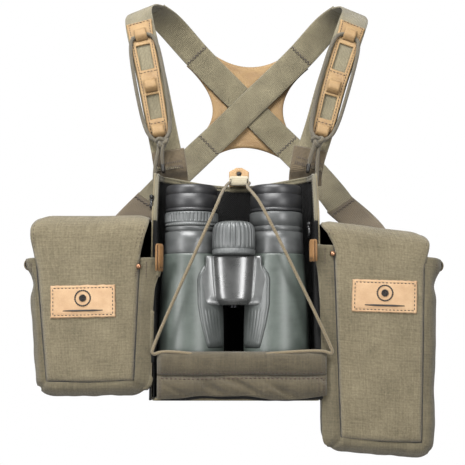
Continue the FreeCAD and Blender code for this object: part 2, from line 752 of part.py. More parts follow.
def rung(sections, share, offset, lift):
    """One leather loop, arched along the strap and open at both sides."""
    tall, high, thick, half = 13.0, 6.0, 1.5, 5.2
    outer = [(-tall / 2, 0), (-tall / 2 + 2, high), (tall / 2 - 2, high), (tall / 2, 0)]
    inner = [(tall / 2 - thick, 0), (tall / 2 - thick - 1.6, high - thick),
             (-tall / 2 + thick + 1.6, high - thick), (-tall / 2 + thick, 0)]
    rows = []
    for side_step in (-half, half):
        point, wide, front = on_strap(sections, share, offset + side_step, lift)
        up = front.cross(wide)
        spots = [point + up * a + front * b for a, b in outer + inner]
        rows.append(Part.makePolygon(spots + [spots[0]]))
    return Part.makeLoft(rows, True, True)


# Where each tether leaves the rim, across.
TETHER_ROOTS = {"left": -67.4, "right": 68.6}


def tether(side, sections, sign):
    """Cord through the top loop of the ladder, down both its sides to a knot, with a short tail."""
    lift = size("web_thick") / 2 + size("leather_thick") + size("tether_thick") / 2 + 1.0
    base = 8.0

    def spot(share, across, out):
        return tuple(on_strap(sections, share, sign * across, out)[0])

    def low(across, y, z):
        return (TETHER_ROOTS[side] + across, y, z)

    route = [low(0, -13.5, 84), low(0.4 * sign, -15, 100), spot(0.17, 2.6, base)]
    route += [spot(0.2, 11.4, lift + 1.6), spot(0.26, 14.2, lift), spot(0.33, 14.8, lift)]
    route += [spot(0.41, 14.2, lift), spot(0.48, 12.4, lift), spot(0.523, 8.6, lift)]
    route += [spot(0.523, -8.0, lift), spot(0.48, -11.6, lift)]
    route += [spot(0.41, -11.6, lift), spot(0.33, -10.6, lift), spot(0.26, -8.8, lift)]
    route += [spot(0.2, -6.2, lift + 1.6), spot(0.172, 0.4, base + 3.2)]
    route += [low(-6.0 * sign, -17, 106), low(-7.6 * sign, -14, 94)]
    cord(side + "_tether_cord", route, size("tether_thick"))
    ball = doc.addObject("Part::Ellipsoid", side + "_knot_ball")
    ball.Radius1 = 4.6
    ball.Radius2 = 6.0
    ball.Radius3 = 5.0
    ball.Placement.Base = Vector(*spot(0.17, 1.6, base + 1.6))
    node(ball, side + "_tether_knot")


def harness():
    web, thick = size("web_width"), size("web_thick")
    straps = {"left_shoulder_strap": LEFT_SHOULDER, "right_shoulder_strap": RIGHT_SHOULDER,
              "cross_strap_under": UNDER_CROSS, "cross_strap_over": OVER_CROSS}
    for name, sections in straps.items():
        solid(name, ribbon(sections, web, thick))
    back_patch()
    for side, sections, sign in (("left", LEFT_SHOULDER, -1), ("right", RIGHT_SHOULDER, 1)):
        solid(side + "_side_elastic", ribbon(SIDE_ELASTICS[side], web + 1, size("elastic_thick")))
        band = ribbon(BASE_ELASTICS[side], size("elastic_width"), size("elastic_thick"))
        solid(side + "_base_elastic", band.cut(doc.getObject("back_panel").Shape))
        ladder(side, sections, sign)
        tether(side, sections, sign)


# ---------------------------------------------------------------- the whole object

def check():
    """Stops at any failed object or bad shape."""
    doc.recompute()
    for part in doc.Objects:
        if "Invalid" in part.State or "Error" in part.State:
            raise RuntimeError("%s failed: %s" % (part.Name, part.State))
    for part in NODES:
        if part.Shape.isNull() or not part.Shape.isValid():
            raise RuntimeError("%s has a bad shape" % part.Label)
        if not part.Shape.Solids:
            raise RuntimeError("%s has no solid" % part.Label)


def main():
    cradle()
    rim_binding()
    cuff()
    retainer()
    binocular()
    for side in POUCHES:
        pouch(side)
        pouch_lid(side)
        label(side)
        gusset_tab(side)
        corner_loop(side)
        rivet(side)
        mounting(side)
    harness()
    check()
    os.makedirs("parts", exist_ok=True)
    for part in NODES:
        part.Shape.exportStep("parts/%s.step" % part.Label)
    print(len(NODES), "nodes")


main()
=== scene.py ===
"""Looks of the binocular harness pack, built round its CAD frame. Tables are in millimetres."""
import math
from contextlib import contextmanager
import bpy
import bmesh
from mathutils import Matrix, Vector, noise
from mathutils.bvhtree import BVHTree


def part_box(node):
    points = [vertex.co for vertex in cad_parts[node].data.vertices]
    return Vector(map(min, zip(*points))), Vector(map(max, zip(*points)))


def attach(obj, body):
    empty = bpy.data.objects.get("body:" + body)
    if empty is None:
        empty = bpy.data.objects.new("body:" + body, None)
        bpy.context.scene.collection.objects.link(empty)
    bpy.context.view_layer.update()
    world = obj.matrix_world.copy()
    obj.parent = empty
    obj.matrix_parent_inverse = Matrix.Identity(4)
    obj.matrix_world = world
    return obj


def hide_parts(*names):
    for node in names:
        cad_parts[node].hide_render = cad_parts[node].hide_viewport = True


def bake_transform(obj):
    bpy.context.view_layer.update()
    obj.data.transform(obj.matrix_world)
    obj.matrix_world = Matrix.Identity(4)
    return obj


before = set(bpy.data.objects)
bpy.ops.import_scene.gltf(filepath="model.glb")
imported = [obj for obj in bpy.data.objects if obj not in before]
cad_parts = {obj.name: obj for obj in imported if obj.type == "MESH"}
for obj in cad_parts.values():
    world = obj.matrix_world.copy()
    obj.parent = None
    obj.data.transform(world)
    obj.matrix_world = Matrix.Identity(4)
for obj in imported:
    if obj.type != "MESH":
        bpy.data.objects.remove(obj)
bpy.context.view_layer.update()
MM = 0.001
SIDES = {"left": -1, "right": 1}


# ------------------------------------------------------------------ shapes

def lerp(a, b, t):
    return a + (b - a) * t


def ramp(value, low, high):
    """Smooth step from 0 at low to 1 at high."""
    t = min(max((value - low) / (high - low), 0.0), 1.0)
    return t * t * (3 - 2 * t)


def steps(low, high, count):
    """Evenly spaced values from low to high, both included."""
    return [lerp(low, high, i / count) for i in range(count + 1)]


def circle(count, closed=False):
    """Evenly spaced angles round a circle; closed repeats the first as a whole turn."""
    return [2 * math.pi * k / count for k in range(count + closed)]


def half_turn(count):
    """Evenly spaced angles from 0 to half a turn, both included."""
    return [math.pi * k / count for k in range(count + 1)]


def table(value, rows):
    """Linear look-up in rows of (place, result)."""
    rows = sorted(rows)
    if value <= rows[0][0]:
        return rows[0][1]
    for (a, first), (b, second) in zip(rows, rows[1:]):
        if value <= b:
            return lerp(first, second, (value - a) / (b - a))
    return rows[-1][1]


def wobble(*place, seed=0.0):
    """Repeatable noise from about -1 to 1; the place is already divided by the feature size."""
    return noise.noise(Vector(place) + Vector((seed * 17.3, seed * 5.1, seed * 9.7)))


def lengths(points, closed=False):
    """Distance along a row of points, from 0."""
    row = list(points) + ([points[0]] if closed else [])
    total = [0.0]
    for a, b in zip(row, row[1:]):
        total.append(total[-1] + (Vector(b) - Vector(a)).length)
    return total


def link(obj, *materials):
    bpy.context.scene.collection.objects.link(obj)
    for material in materials:
        obj.data.materials.append(material)
    return obj


def grid(name, rows, *materials, closed=False, loop=False, cap=False, flip=False):
    """A surface through rows of points. closed joins each row's end to its start, loop joins the last
    row to the first, and cap closes both ends. UVs are in millimetres: across and down the rows."""
    count, wide = len(rows), len(rows[0])
    across = lengths(rows[count // 2], closed)
    down = lengths([row[wide // 2] for row in rows], loop)
    faces, coords = [], []
    for i in range(count if loop else count - 1):
        for j in range(wide if closed else wide - 1):
            k, below = (j + 1) % wide, (i + 1) % count
            corners = [(i, j, across[j], down[i]), (i, k, across[j + 1], down[i]),
                       (below, k, across[j + 1], down[i + 1]), (below, j, across[j], down[i + 1])]
            if flip:
                corners.reverse()
            faces.append([a * wide + b for a, b, u, v in corners])
            coords += [(u, v) for a, b, u, v in corners]
    if cap:
        ends = [(0, range(wide - 1, -1, -1)), (count - 1, range(wide))]
        for i, order in ends:
            order = list(order)[::-1] if flip else list(order)
            faces.append([i * wide + j for j in order])
            coords += [(across[j], down[i]) for j in order]
    mesh = bpy.data.meshes.new(name)
    mesh.from_pydata([Vector(p) * MM for row in rows for p in row], [], faces)
    layer = mesh.uv_layers.new(name="UVMap")
    layer.data.foreach_set("uv", [c for pair in coords for c in pair])
    mesh.polygons.foreach_set("use_smooth", [True] * len(faces))
    return link(bpy.data.objects.new(name, mesh), *materials)


def settle(obj):
    """Makes the modifiers' result the object's own mesh."""
    graph = bpy.context.evaluated_depsgraph_get()
    obj.data = bpy.data.meshes.new_from_object(obj.evaluated_get(graph), depsgraph=graph)
    obj.modifiers.clear()
    return obj


def thicken(obj, thick, inner=0):
    """Gives an open sheet its thickness on the inner side; inner picks the material there."""
    shell = obj.modifiers.new("thick", "SOLIDIFY")
    shell.thickness = thick * MM
    shell.offset = -1
    shell.material_offset = inner
    shell.material_offset_rim = 0
    return settle(obj)


@contextmanager
def editing(obj):
    """An object's mesh, open for changes by vertex and face."""
    work = bmesh.new()
    work.from_mesh(obj.data)
    yield work
    work.to_mesh(obj.data)
    work.free()


def face_out(obj):
    """Turns a closed mesh's faces to look outwards."""
    with editing(obj) as work:
        bmesh.ops.recalc_face_normals(work, faces=work.faces)
    return obj


def open_top(obj):
    """Takes away the large flat face that closes a mesh's upper end."""
    with editing(obj) as work:
        work.faces.remove(max(work.faces, key=lambda f: (len(f.verts) > 4, f.calc_center_median().z)))


def look(obj, number, way):
    """Flips an open sheet if its face of that number does not look the given way."""
    if obj.data.polygons[number].normal.dot(way) < 0:
        obj.data.flip_normals()


def repaint(obj, material, where):
    """Gives one more material to the faces that pass where(centre in millimetres, normal)."""
    obj.data.materials.append(material)
    for face in obj.data.polygons:
        if where(face.center / MM, face.normal):
            face.material_index = len(obj.data.materials) - 1


def press(obj, amount):
    """Moves each point along its normal by amount(point), in millimetres."""
    moves = [amount(v.co / MM) for v in obj.data.vertices]
    normals = [v.normal.copy() for v in obj.data.vertices]
    for v, normal, move in zip(obj.data.vertices, normals, moves):
        v.co += normal * (move * MM)
    obj.data.update()
    return obj


def shift(obj, move):
    """Moves each point by move(point), in millimetres."""
    for v in obj.data.vertices:
        v.co += Vector(move(v.co / MM)) * MM
    obj.data.update()
    return obj


def lathe(name, profile, centre, *materials, segments=96, ripple=None):
    """A closed profile of (radius, z) turned about an upright axis; ripple(angle, radius, z) adds to it."""
    x, y = centre
    rows = []
    for radius, z in profile:
        row = []
        for angle in circle(segments):
            r = radius + (ripple(angle, radius, z) if ripple else 0)
            row.append((x + r * math.cos(angle), y + r * math.sin(angle), z))
        rows.append(row)
    return face_out(grid(name, rows, *materials, closed=True, loop=True))


def join(name, parts):
    """Several meshes as one piece; they share their first material."""
    work = bmesh.new()
    for part in parts:
        work.from_mesh(part.data)
    mesh = bpy.data.meshes.new(name)
    work.to_mesh(mesh)
    work.free()
    material = parts[0].data.materials[0]
    for part in parts:
        bpy.data.objects.remove(part)
    return link(bpy.data.objects.new(name, mesh), material)


def place(obj, body, slot, *nodes):
    """Rides a finished piece on a body, in place of CAD nodes."""
    if nodes:
        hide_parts(*nodes)
    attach(obj, body)


def catmull(rows, share):
    """A point at a share of the way along a Catmull-Rom curve through rows of numbers."""
    spot = min(max(share, 0.0), 1.0) * (len(rows) - 1)
    i = min(int(spot), len(rows) - 2)
    t = spot - i
    before, after = rows[max(i - 1, 0)], rows[min(i + 2, len(rows) - 1)]
    return [0.5 * (2 * b + (c - a) * t + (2 * a - 5 * b + 4 * c - d) * t * t
                   + (3 * b - a - 3 * c + d) * t ** 3)
            for a, b, c, d in zip(before, rows[i], rows[i + 1], after)]


def strap_at(sections, share):
    """A strap's centre, width direction, face direction and run at a share of its sections."""
    rows = [(*centre, *wide) for centre, wide in sections]
    here = catmull(rows, share)
    run = Vector(catmull(rows, share + 0.004)[:3]) - Vector(catmull(rows, share - 0.004)[:3])
    run.normalize()
    wide = Vector(here[3:])
    wide = (wide - run * wide.dot(run)).normalized()
    return Vector(here[:3]), wide, run.cross(wide), run


def strap(name, sections, width, thick, material, step=3.0):
    """Woven strap with rounded selvedges."""
    half, deep = width / 2, thick / 2
    upper = [(a, deep) for a in steps(-half + 0.5, half - 0.5, 8)]
    lower = [(a, -b) for a, b in reversed(upper)]
    profile = upper + [(half - 0.08, deep * 0.6), (half, 0), (half - 0.08, -deep * 0.6)]
    profile += lower + [(-half + 0.08, -deep * 0.6), (-half, 0), (-half + 0.08, deep * 0.6)]
    count = max(4, round(lengths([centre for centre, wide in sections])[-1] / step))
    rows = []
    for i in range(count + 1):
        centre, wide, face = strap_at(sections, i / count)[:3]
        rows.append([centre + wide * a + face * b for a, b in profile])
    return face_out(grid(name, rows, material, closed=True, cap=True))


def spline_points(points, resolution):
    """Points along a quadratic NURBS curve that has these control points."""
    data = bpy.data.curves.new("route", "CURVE")
    data.dimensions = "3D"
    line = data.splines.new("NURBS")
    line.points.add(len(points) - 1)
    for spot, point in zip(line.points, points):
        spot.co = (*point, 1)
    line.order_u = 3
    line.use_endpoint_u = True
    line.resolution_u = resolution
    obj = bpy.data.objects.new("route", data)
    bpy.context.scene.collection.objects.link(obj)
    graph = bpy.context.evaluated_depsgraph_get()
    graph.update()
    mesh = bpy.data.meshes.new_from_object(obj.evaluated_get(graph))
    route = [v.co.copy() for v in mesh.vertices]
    bpy.data.objects.remove(obj)
    bpy.data.meshes.remove(mesh)
    return route


def tube(name, route, thick, material, sides=12):
    """A round cord along a fine route, a little thinner at its two ends."""
    rows, up = [], Vector((0, -1, 0.01))
    last = len(route) - 1
    for i, point in enumerate(route):
        tangent = (Vector(route[min(i + 1, last)]) - Vector(route[max(i - 1, 0)])).normalized()
        up = (up - tangent * up.dot(tangent)).normalized()
        side = tangent.cross(up)
        radius = thick / 2 * (1.0 if 0 < i < last else 0.75)
        rows.append([Vector(point) + side * (radius * math.cos(a)) + up * (radius * math.sin(a))
                     for a in circle(sides)])
    return face_out(grid(name, rows, material, closed=True, cap=True))


class Thread:
    """Collects stitches, each a small bar of thread lying on a surface."""

    def __init__(self):
        self.points = []
        self.faces = []

    def stitch(self, a, b, out, thick=0.55, proud=0.18):
        """One stitch from a to b; its middle stands proud along out."""
        a, b, out = Vector(a), Vector(b), Vector(out).normalized()
        along = (b - a).normalized()
        side = along.cross(out).normalized()
        start = len(self.points)
        for share, size, lift in ((0, 0.45, -0.1), (0.25, 1, 0.8), (0.75, 1, 0.8), (1, 0.45, -0.1)):
            middle = a.lerp(b, share) + out * (proud * lift)
            for angle in circle(5):
                self.points.append(middle + side * (thick / 2 * size * math.cos(angle))
                                   + out * (thick / 2 * size * math.sin(angle)))
        for ring in range(3):
            for turn in range(5):
                following = (turn + 1) % 5
                base = start + ring * 5
                self.faces.append([base + turn, base + following, base + 5 + following, base + 5 + turn])
        self.faces.append([start + turn for turn in range(4, -1, -1)])
        self.faces.append([start + 15 + turn for turn in range(5)])

    def row(self, route, pitch=3.0, fill=0.66, thick=0.55, lift=0.0):
        """Stitches along a route of (point, out)."""
        if len(route) < 2:
            return
        total = lengths([point for point, out in route])
        count = max(1, int(total[-1] / pitch))

        def at(distance):
            for i in range(len(total) - 1):
                if distance <= total[i + 1] or i == len(total) - 2:
                    t = (distance - total[i]) / max(total[i + 1] - total[i], 1e-6)
                    (p, m), (q, n) = route[i], route[i + 1]
                    return Vector(p).lerp(Vector(q), t) + Vector(m) * lift, Vector(m).lerp(Vector(n), t)

        for i in range(count):
            a, out = at(total[-1] * (i + (1 - fill) / 2) / count)
            b, out = at(total[-1] * (i + (1 + fill) / 2) / count)
            if (b - a).length > 0.1:
                self.stitch(a, b, out, thick)

    def make(self, name, material):
        """All stitches as one piece."""
        mesh = bpy.data.meshes.new(name)
        mesh.from_pydata([p * MM for p in self.points], [], self.faces)
        mesh.polygons.foreach_set("use_smooth", [True] * len(self.faces))
        return face_out(link(bpy.data.objects.new(name, mesh), material))


# Ray-cast trees of the objects that stitches lie on, by name, and the depth that the rays start from.
GROUNDS = {}
RAY_START = -150.0


def drop(obj, x, z):
    """Where a line from the front first meets an object, and the outward direction there."""
    if obj.name not in GROUNDS:
        GROUNDS[obj.name] = BVHTree.FromPolygons([v.co / MM for v in obj.data.vertices],
                                                 [tuple(face.vertices) for face in obj.data.polygons])
    spot, normal = GROUNDS[obj.name].ray_cast(Vector((x, RAY_START, z)), Vector((0, 1, 0)))[:2]
    if spot is None:
        return None
    return spot, -normal if normal.y > 0 else normal


def dropped(obj, flat, step=1.5):
    """A flat (x, z) line laid on an object, as a route of (point, out)."""
    fine = []
    for (xa, za), (xb, zb) in zip(flat, flat[1:]):
        count = max(1, round(math.hypot(xb - xa, zb - za) / step))
        fine += [(lerp(xa, xb, i / count), lerp(za, zb, i / count)) for i in range(count)]
    fine.append(flat[-1])
    found = [drop(obj, x, z) for x, z in fine]
    return [spot for spot in found if spot]


# ------------------------------------------------------------------ materials

# The lights together are brighter than white paper needs, so a surface colour is this share of the
# seen one.
LIGHT_SHARE = 0.43


def srgb(*levels):
    """A seen colour, 0 to 255, as the linear surface colour that shows it under this scene's lights."""
    linear = [c / 12.92 if c <= 0.04045 else ((c + 0.055) / 1.055) ** 2.4
              for c in (v / 255 for v in levels)]
    return (*[c * LIGHT_SHARE for c in linear], 1)


class Surface:
    """A material under construction, with short calls for the nodes it needs. Lengths are in
    millimetres. Its pattern follows the UVs, or with solid the object's own space."""

    def __init__(self, name, fixed, solid=False):
        self.material = bpy.data.materials.new(name)
        self.material.use_nodes = True
        self.tree = self.material.node_tree
        self.shader = self.tree.nodes["Principled BSDF"]
        for socket, value in fixed.items():
            self.shader.inputs[socket].default_value = value
        if solid:
            source = self.node("ShaderNodeTexCoord").outputs["Object"]
            self.coords = self.vector("MULTIPLY", source, (1000, 1000, 1000))
        else:
            self.coords = self.node("ShaderNodeTexCoord").outputs["UV"]
        parts = self.node("ShaderNodeSeparateXYZ", {0: self.coords})
        self.u, self.v = parts.outputs[0], parts.outputs[1]

    def node(self, kind, inputs=None, **settings):
        made = self.tree.nodes.new(kind)
        for name, value in settings.items():
            setattr(made, name, value)
        for socket, value in (inputs or {}).items():
            if isinstance(value, bpy.types.NodeSocket):
                self.tree.links.new(value, made.inputs[socket])
            else:
                made.inputs[socket].default_value = value
        return made

    def math(self, operation, a, b=0.0):
        return self.node("ShaderNodeMath", {0: a, 1: b}, operation=operation).outputs[0]

    def vector(self, operation, a, b):
        return self.node("ShaderNodeVectorMath", {0: a, 1: b}, operation=operation).outputs[0]

    def noise(self, size, detail=2.0, stretch=(1, 1, 1), rough=0.5):
        """Noise from 0 to 1 with features of a size."""
        place = self.vector("MULTIPLY", self.coords, tuple(s / size for s in stretch))
        return self.node("ShaderNodeTexNoise", {"Vector": place, "Scale": 1.0, "Detail": detail,
                                                "Roughness": rough}).outputs["Fac"]

    def cells(self, size):
        """Distance to cell borders, for leather grain."""
        place = self.vector("MULTIPLY", self.coords, (1 / size,) * 3)
        return self.node("ShaderNodeTexVoronoi", {"Vector": place, "Scale": 1.0},
                         feature="DISTANCE_TO_EDGE").outputs["Distance"]

    def wave(self, axis, pitch):
        """A sine from -1 to 1, once in each pitch."""
        return self.math("SINE", self.math("MULTIPLY", axis, 2 * math.pi / pitch))

    def span(self, value, low, high, to_low=0.0, to_high=1.0):
        """Maps low..high to another range, held at its ends."""
        sockets = {0: value, 1: low, 2: high, 3: to_low, 4: to_high}
        return self.node("ShaderNodeMapRange", sockets).outputs[0]

    def mix(self, share, a, b):
        return self.node("ShaderNodeMix", {0: share, 6: a, 7: b}, data_type="RGBA").outputs[2]

    def add(self, *values):
        total = values[0]
        for value in values[1:]:
            total = self.math("ADD", total, value)
        return total

    def scale(self, value, factor):
        return self.math("MULTIPLY", value, factor)

    def finish(self, colour, roughness, height=None, depth=0.3):
        """Wires the colour, roughness and bump; depth is the height's size in millimetres."""
        self.tree.links.new(colour, self.shader.inputs["Base Color"])
        self.tree.links.new(roughness, self.shader.inputs["Roughness"])
        if height is not None:
            bump = self.node("ShaderNodeBump", {"Height": height, "Distance": depth * MM, "Strength": 1.0})
            self.tree.links.new(bump.outputs[0], self.shader.inputs["Normal"])
        return self.material


def cloth_fixed(sheen):
    return {"Sheen Weight": sheen, "Sheen Roughness": 0.6, "Specular IOR Level": 0.2}


def canvas(name, dark, light):
    """Plain-woven duck with uneven threads and soft fading."""
    s = Surface(name, cloth_fixed(0.15))
    warp, weft = s.wave(s.u, 1.0), s.wave(s.v, 1.0)
    weave = s.scale(s.math("MULTIPLY", warp, weft), 0.5)
    warp_thread = s.noise(1.1, 2, (1, 0.07, 1))
    weft_thread = s.noise(1.1, 2, (0.07, 1, 1))
    speck = s.noise(1.7, 3)
    cloud = s.noise(26, 2)
    tone = s.add(s.scale(warp_thread, 0.42), s.scale(weft_thread, 0.42), s.scale(speck, 0.6),
                 s.scale(cloud, 0.42), s.scale(weave, 0.12))
    colour = s.mix(s.span(tone, 0.58, 1.28), dark, light)
    height = s.add(weave, s.scale(warp_thread, 0.8), s.scale(weft_thread, 0.8), s.scale(speck, 0.5))
    return s.finish(colour, s.span(speck, 0.2, 0.8, 0.78, 0.97), height, 0.32)


def webbing(name, dark, light, rib=1.25, lines=2.6, depth=0.35):
    """Ribbed tape: ribs across it and fine lines along it."""
    s = Surface(name, cloth_fixed(0.2))
    ribs = s.wave(s.v, rib)
    rows = s.wave(s.u, lines)
    fleck = s.noise(0.9, 2, (1, 0.5, 1))
    cloud = s.noise(18, 2)
    tone = s.add(s.scale(ribs, 0.10), s.scale(rows, 0.09), s.scale(fleck, 0.5), s.scale(cloud, 0.5))
    colour = s.mix(s.span(tone, 0.2, 0.8), dark, light)
    height = s.add(s.scale(ribs, 0.5), s.scale(rows, 0.3), s.scale(fleck, 0.5))
    return s.finish(colour, s.span(fleck, 0.2, 0.8, 0.65, 0.9), height, depth)


def leather(name, dark, light, grain=1.1):
    """Vegetable tanned leather: pebbled grain, pores and warm patches."""
    s = Surface(name, {"Specular IOR Level": 0.35, "Sheen Weight": 0.05})
    cells, patch = s.cells(grain), s.noise(9, 3)
    pore, fade = s.noise(0.6, 2), s.noise(30, 1)
    tone = s.add(s.scale(patch, 0.6), s.scale(fade, 0.45), s.scale(pore, 0.2), s.scale(cells, 0.25))
    colour = s.mix(s.span(tone, 0.42, 0.92), dark, light)
    height = s.add(s.span(cells, 0.0, 0.25), s.scale(pore, 0.5), s.scale(patch, 1.2))
    return s.finish(colour, s.span(patch, 0.3, 0.7, 0.45, 0.68), height, 0.12)


def braid(name, dark, light, pitch=1.5):
    """Braided sheath: crossing diagonal strands."""
    s = Surface(name, cloth_fixed(0.15))
    one = s.wave(s.add(s.u, s.v), pitch)
    two = s.wave(s.math("SUBTRACT", s.u, s.v), pitch)
    strands = s.math("MAXIMUM", one, two)
    fleck = s.noise(0.7, 2)
    tone = s.add(s.scale(strands, 0.16), s.scale(fleck, 0.8))
    colour = s.mix(s.span(tone, 0.2, 0.75), dark, light)
    return s.finish(colour, s.span(fleck, 0.2, 0.8, 0.6, 0.9), s.add(strands, fleck), 0.22)


def mesh_lining(name):
    """Black knitted mesh lining."""
    s = Surface(name, cloth_fixed(0.02))
    holes = s.math("MULTIPLY", s.wave(s.u, 1.6), s.wave(s.v, 1.6))
    fleck = s.noise(2.5, 3)
    tone = s.span(s.add(s.scale(holes, 0.2), fleck), 0.2, 0.9)
    colour = s.mix(tone, srgb(3, 3, 3), srgb(22, 21, 20))
    return s.finish(colour, s.span(fleck, 0.2, 0.8, 0.7, 0.95), holes, 0.4)


def moulded(name, dark, light, rough=(0.3, 0.45), grain=0.5, depth=0.05, fixed=None, solid=False):
    """Rubber or plastic with a fine moulded texture, faint handling marks and dust."""
    s = Surface(name, fixed or {"Specular IOR Level": 0.5}, solid)
    fine, marks = s.noise(grain, 2), s.noise(14, 4, rough=0.6)
    scuff = s.noise(3.0, 3, (0.2, 1, 1))
    colour = s.mix(s.span(s.add(s.scale(marks, 0.8), s.scale(scuff, 0.3)), 0.35, 0.8), dark, light)
    roughness = s.span(s.add(s.scale(marks, 0.6), s.scale(scuff, 0.4)), 0.3, 0.7, *rough)
    return s.finish(colour, roughness, s.add(fine, s.scale(marks, 0.6)), depth)


def metal(name, dark, light, rough=(0.25, 0.5)):
    """Brushed metal with faint spots."""
    s = Surface(name, {"Metallic": 1.0}, solid=True)
    brushed, spots = s.noise(1.2, 3, (0.1, 1, 1)), s.noise(2.5, 3)
    colour = s.mix(s.span(spots, 0.3, 0.7), dark, light)
    return s.finish(colour, s.span(brushed, 0.25, 0.75, *rough), brushed, 0.03)


def coated_glass(name):
    """Lens with a faint green-violet coating."""
    s = Surface(name, {"Transmission Weight": 0.6, "IOR": 1.52, "Coat Weight": 0.6}, solid=True)
    tint = s.noise(22, 1)
    colour = s.mix(tint, srgb(52, 74, 66), srgb(70, 60, 92))
    return s.finish(colour, s.span(tint, 0.3, 0.7, 0.02, 0.05), s.noise(6, 1), 0.003)


CANVAS = canvas("canvas", srgb(92, 82, 56), srgb(164, 151, 120))
# Darker copy of the canvas for the cuff: painted shade over the whole band.
CANVAS_CUFF_PAINTED_SHADE = canvas("canvas_cuff_painted_shade", srgb(60, 52, 33), srgb(116, 104, 78))
# Darker copy of the canvas for the pouches' shells: painted shade on the gussets and foot, which turn away
# from the light.
CANVAS_GUSSET_PAINTED_SHADE = canvas("canvas_gusset_painted_shade", srgb(76, 68, 46), srgb(136, 125, 97))
BINDING = webbing("binding", srgb(92, 85, 62), srgb(146, 137, 108), rib=0.9, lines=3.4, depth=0.25)
# Black mesh look for the cradle's front edge and the binding's low runs: painted shade in the gap between
# pouches and barrels.
PAINTED_EDGE_SHADE = mesh_lining("painted_edge_shade")
WEBBING = webbing("webbing", srgb(92, 83, 56), srgb(178, 166, 130), rib=0.95, lines=1.2, depth=0.35)
ELASTIC = webbing("brown_elastic", srgb(74, 60, 40), srgb(132, 114, 84), rib=1.1, lines=1.1, depth=0.25)
LINING = mesh_lining("black_lining")
LEATHER = leather("leather", srgb(158, 122, 78), srgb(204, 170, 118), grain=0.8)
LABEL_LEATHER = leather("label_leather", srgb(196, 154, 110), srgb(236, 200, 156), grain=0.8)
TAB_LEATHER = leather("tab_leather", srgb(202, 158, 106), srgb(236, 200, 152), grain=0.8)
FOLD_LEATHER = leather("fold_leather", srgb(128, 88, 44), srgb(186, 138, 80), grain=0.8)
LEATHER_EDGE = leather("leather_edge", srgb(122, 88, 54), srgb(156, 118, 76))
CORD = braid("cord", srgb(112, 98, 72), srgb(172, 154, 120))
DARK_CORD = braid("dark_cord", srgb(82, 74, 58), srgb(132, 122, 100))
TIP = moulded("melted_tip", srgb(26, 22, 18), srgb(44, 38, 30))
THREAD_BROWN = braid("thread_brown", srgb(58, 40, 28), srgb(92, 66, 46), pitch=0.6)
THREAD_GREY = braid("thread_grey", srgb(66, 56, 50), srgb(98, 86, 76), pitch=0.6)
THREAD_OLIVE = braid("thread_olive", srgb(74, 66, 46), srgb(108, 98, 72), pitch=0.6)
# Near-black canvas for the strips that lie in the pouches' seam grooves: painted shadow of the seams.
PAINTED_SEAM_SHADOW = canvas("seam_shadow", srgb(16, 14, 10), srgb(44, 38, 28))
INK = leather("ink", srgb(36, 32, 30), srgb(56, 50, 46))
COPPER = metal("rivet", srgb(176, 124, 92), srgb(226, 176, 140), (0.3, 0.5))
ARMOUR = moulded("armour", srgb(80, 88, 82), srgb(104, 113, 106), (0.36, 0.46), grain=0.6)
NECK = moulded("neck", srgb(79, 81, 81), srgb(104, 106, 105), (0.30, 0.42), depth=0.03)
CUP = moulded("cup_rubber", srgb(34, 34, 36), srgb(48, 48, 50), (0.40, 0.50), grain=0.4, depth=0.03)
CUP_INNER = moulded("cup_inner", srgb(16, 16, 17), srgb(28, 28, 29), (0.5, 0.7))
GRIP = moulded("grip_rubber", srgb(92, 95, 95), srgb(114, 117, 116), (0.34, 0.5), grain=0.4)
GLOSS = moulded("bridge_plastic", srgb(66, 67, 66), srgb(88, 89, 88), (0.25, 0.32), depth=0.01,
                fixed={"Specular IOR Level": 0.9, "Coat Weight": 0.3, "Coat Roughness": 0.2})
PLATE = moulded("bridge_plate", srgb(92, 94, 93), srgb(116, 118, 117), (0.26, 0.36), grain=0.4, depth=0.02,
                fixed={"Specular IOR Level": 0.8, "Coat Weight": 0.4, "Coat Roughness": 0.25})
PAD = moulded("pad_rubber", srgb(80, 84, 82), srgb(102, 106, 104), (0.28, 0.42), grain=0.4)
MARK = moulded("ring_mark", srgb(150, 150, 148), srgb(186, 186, 182), (0.4, 0.5))
HOOK = moulded("hook_plastic", srgb(10, 10, 11), srgb(24, 24, 25), (0.22, 0.35), solid=True)
CREAM = webbing("cream_tape", srgb(204, 188, 156), srgb(246, 236, 208), rib=0.9, lines=1.6, depth=0.25)
STEEL = metal("axle_steel", srgb(34, 34, 36), srgb(52, 52, 54))
GLASS = coated_glass("glass")
PRISM = moulded("prism_housing", srgb(20, 20, 22), srgb(30, 30, 33), solid=True)


# ------------------------------------------------------------------ binocular

# The hinge's x, the barrels' depth and half of the distance between them.
MIDDLE = -1.0
AXIS_Y = -34.0
HALF = 34.5


def barrel_centre(sign):
    return MIDDLE + sign * HALF, AXIS_Y


def armour_radius(z):
    """Outer radius of the rubber-covered part of a barrel."""
    return table(z, [(-88, 25.9), (-86, 26.5), (-45, 26.5), (-26, 25.9), (-8, 24.9), (8, 23.7), (24, 22.6)])


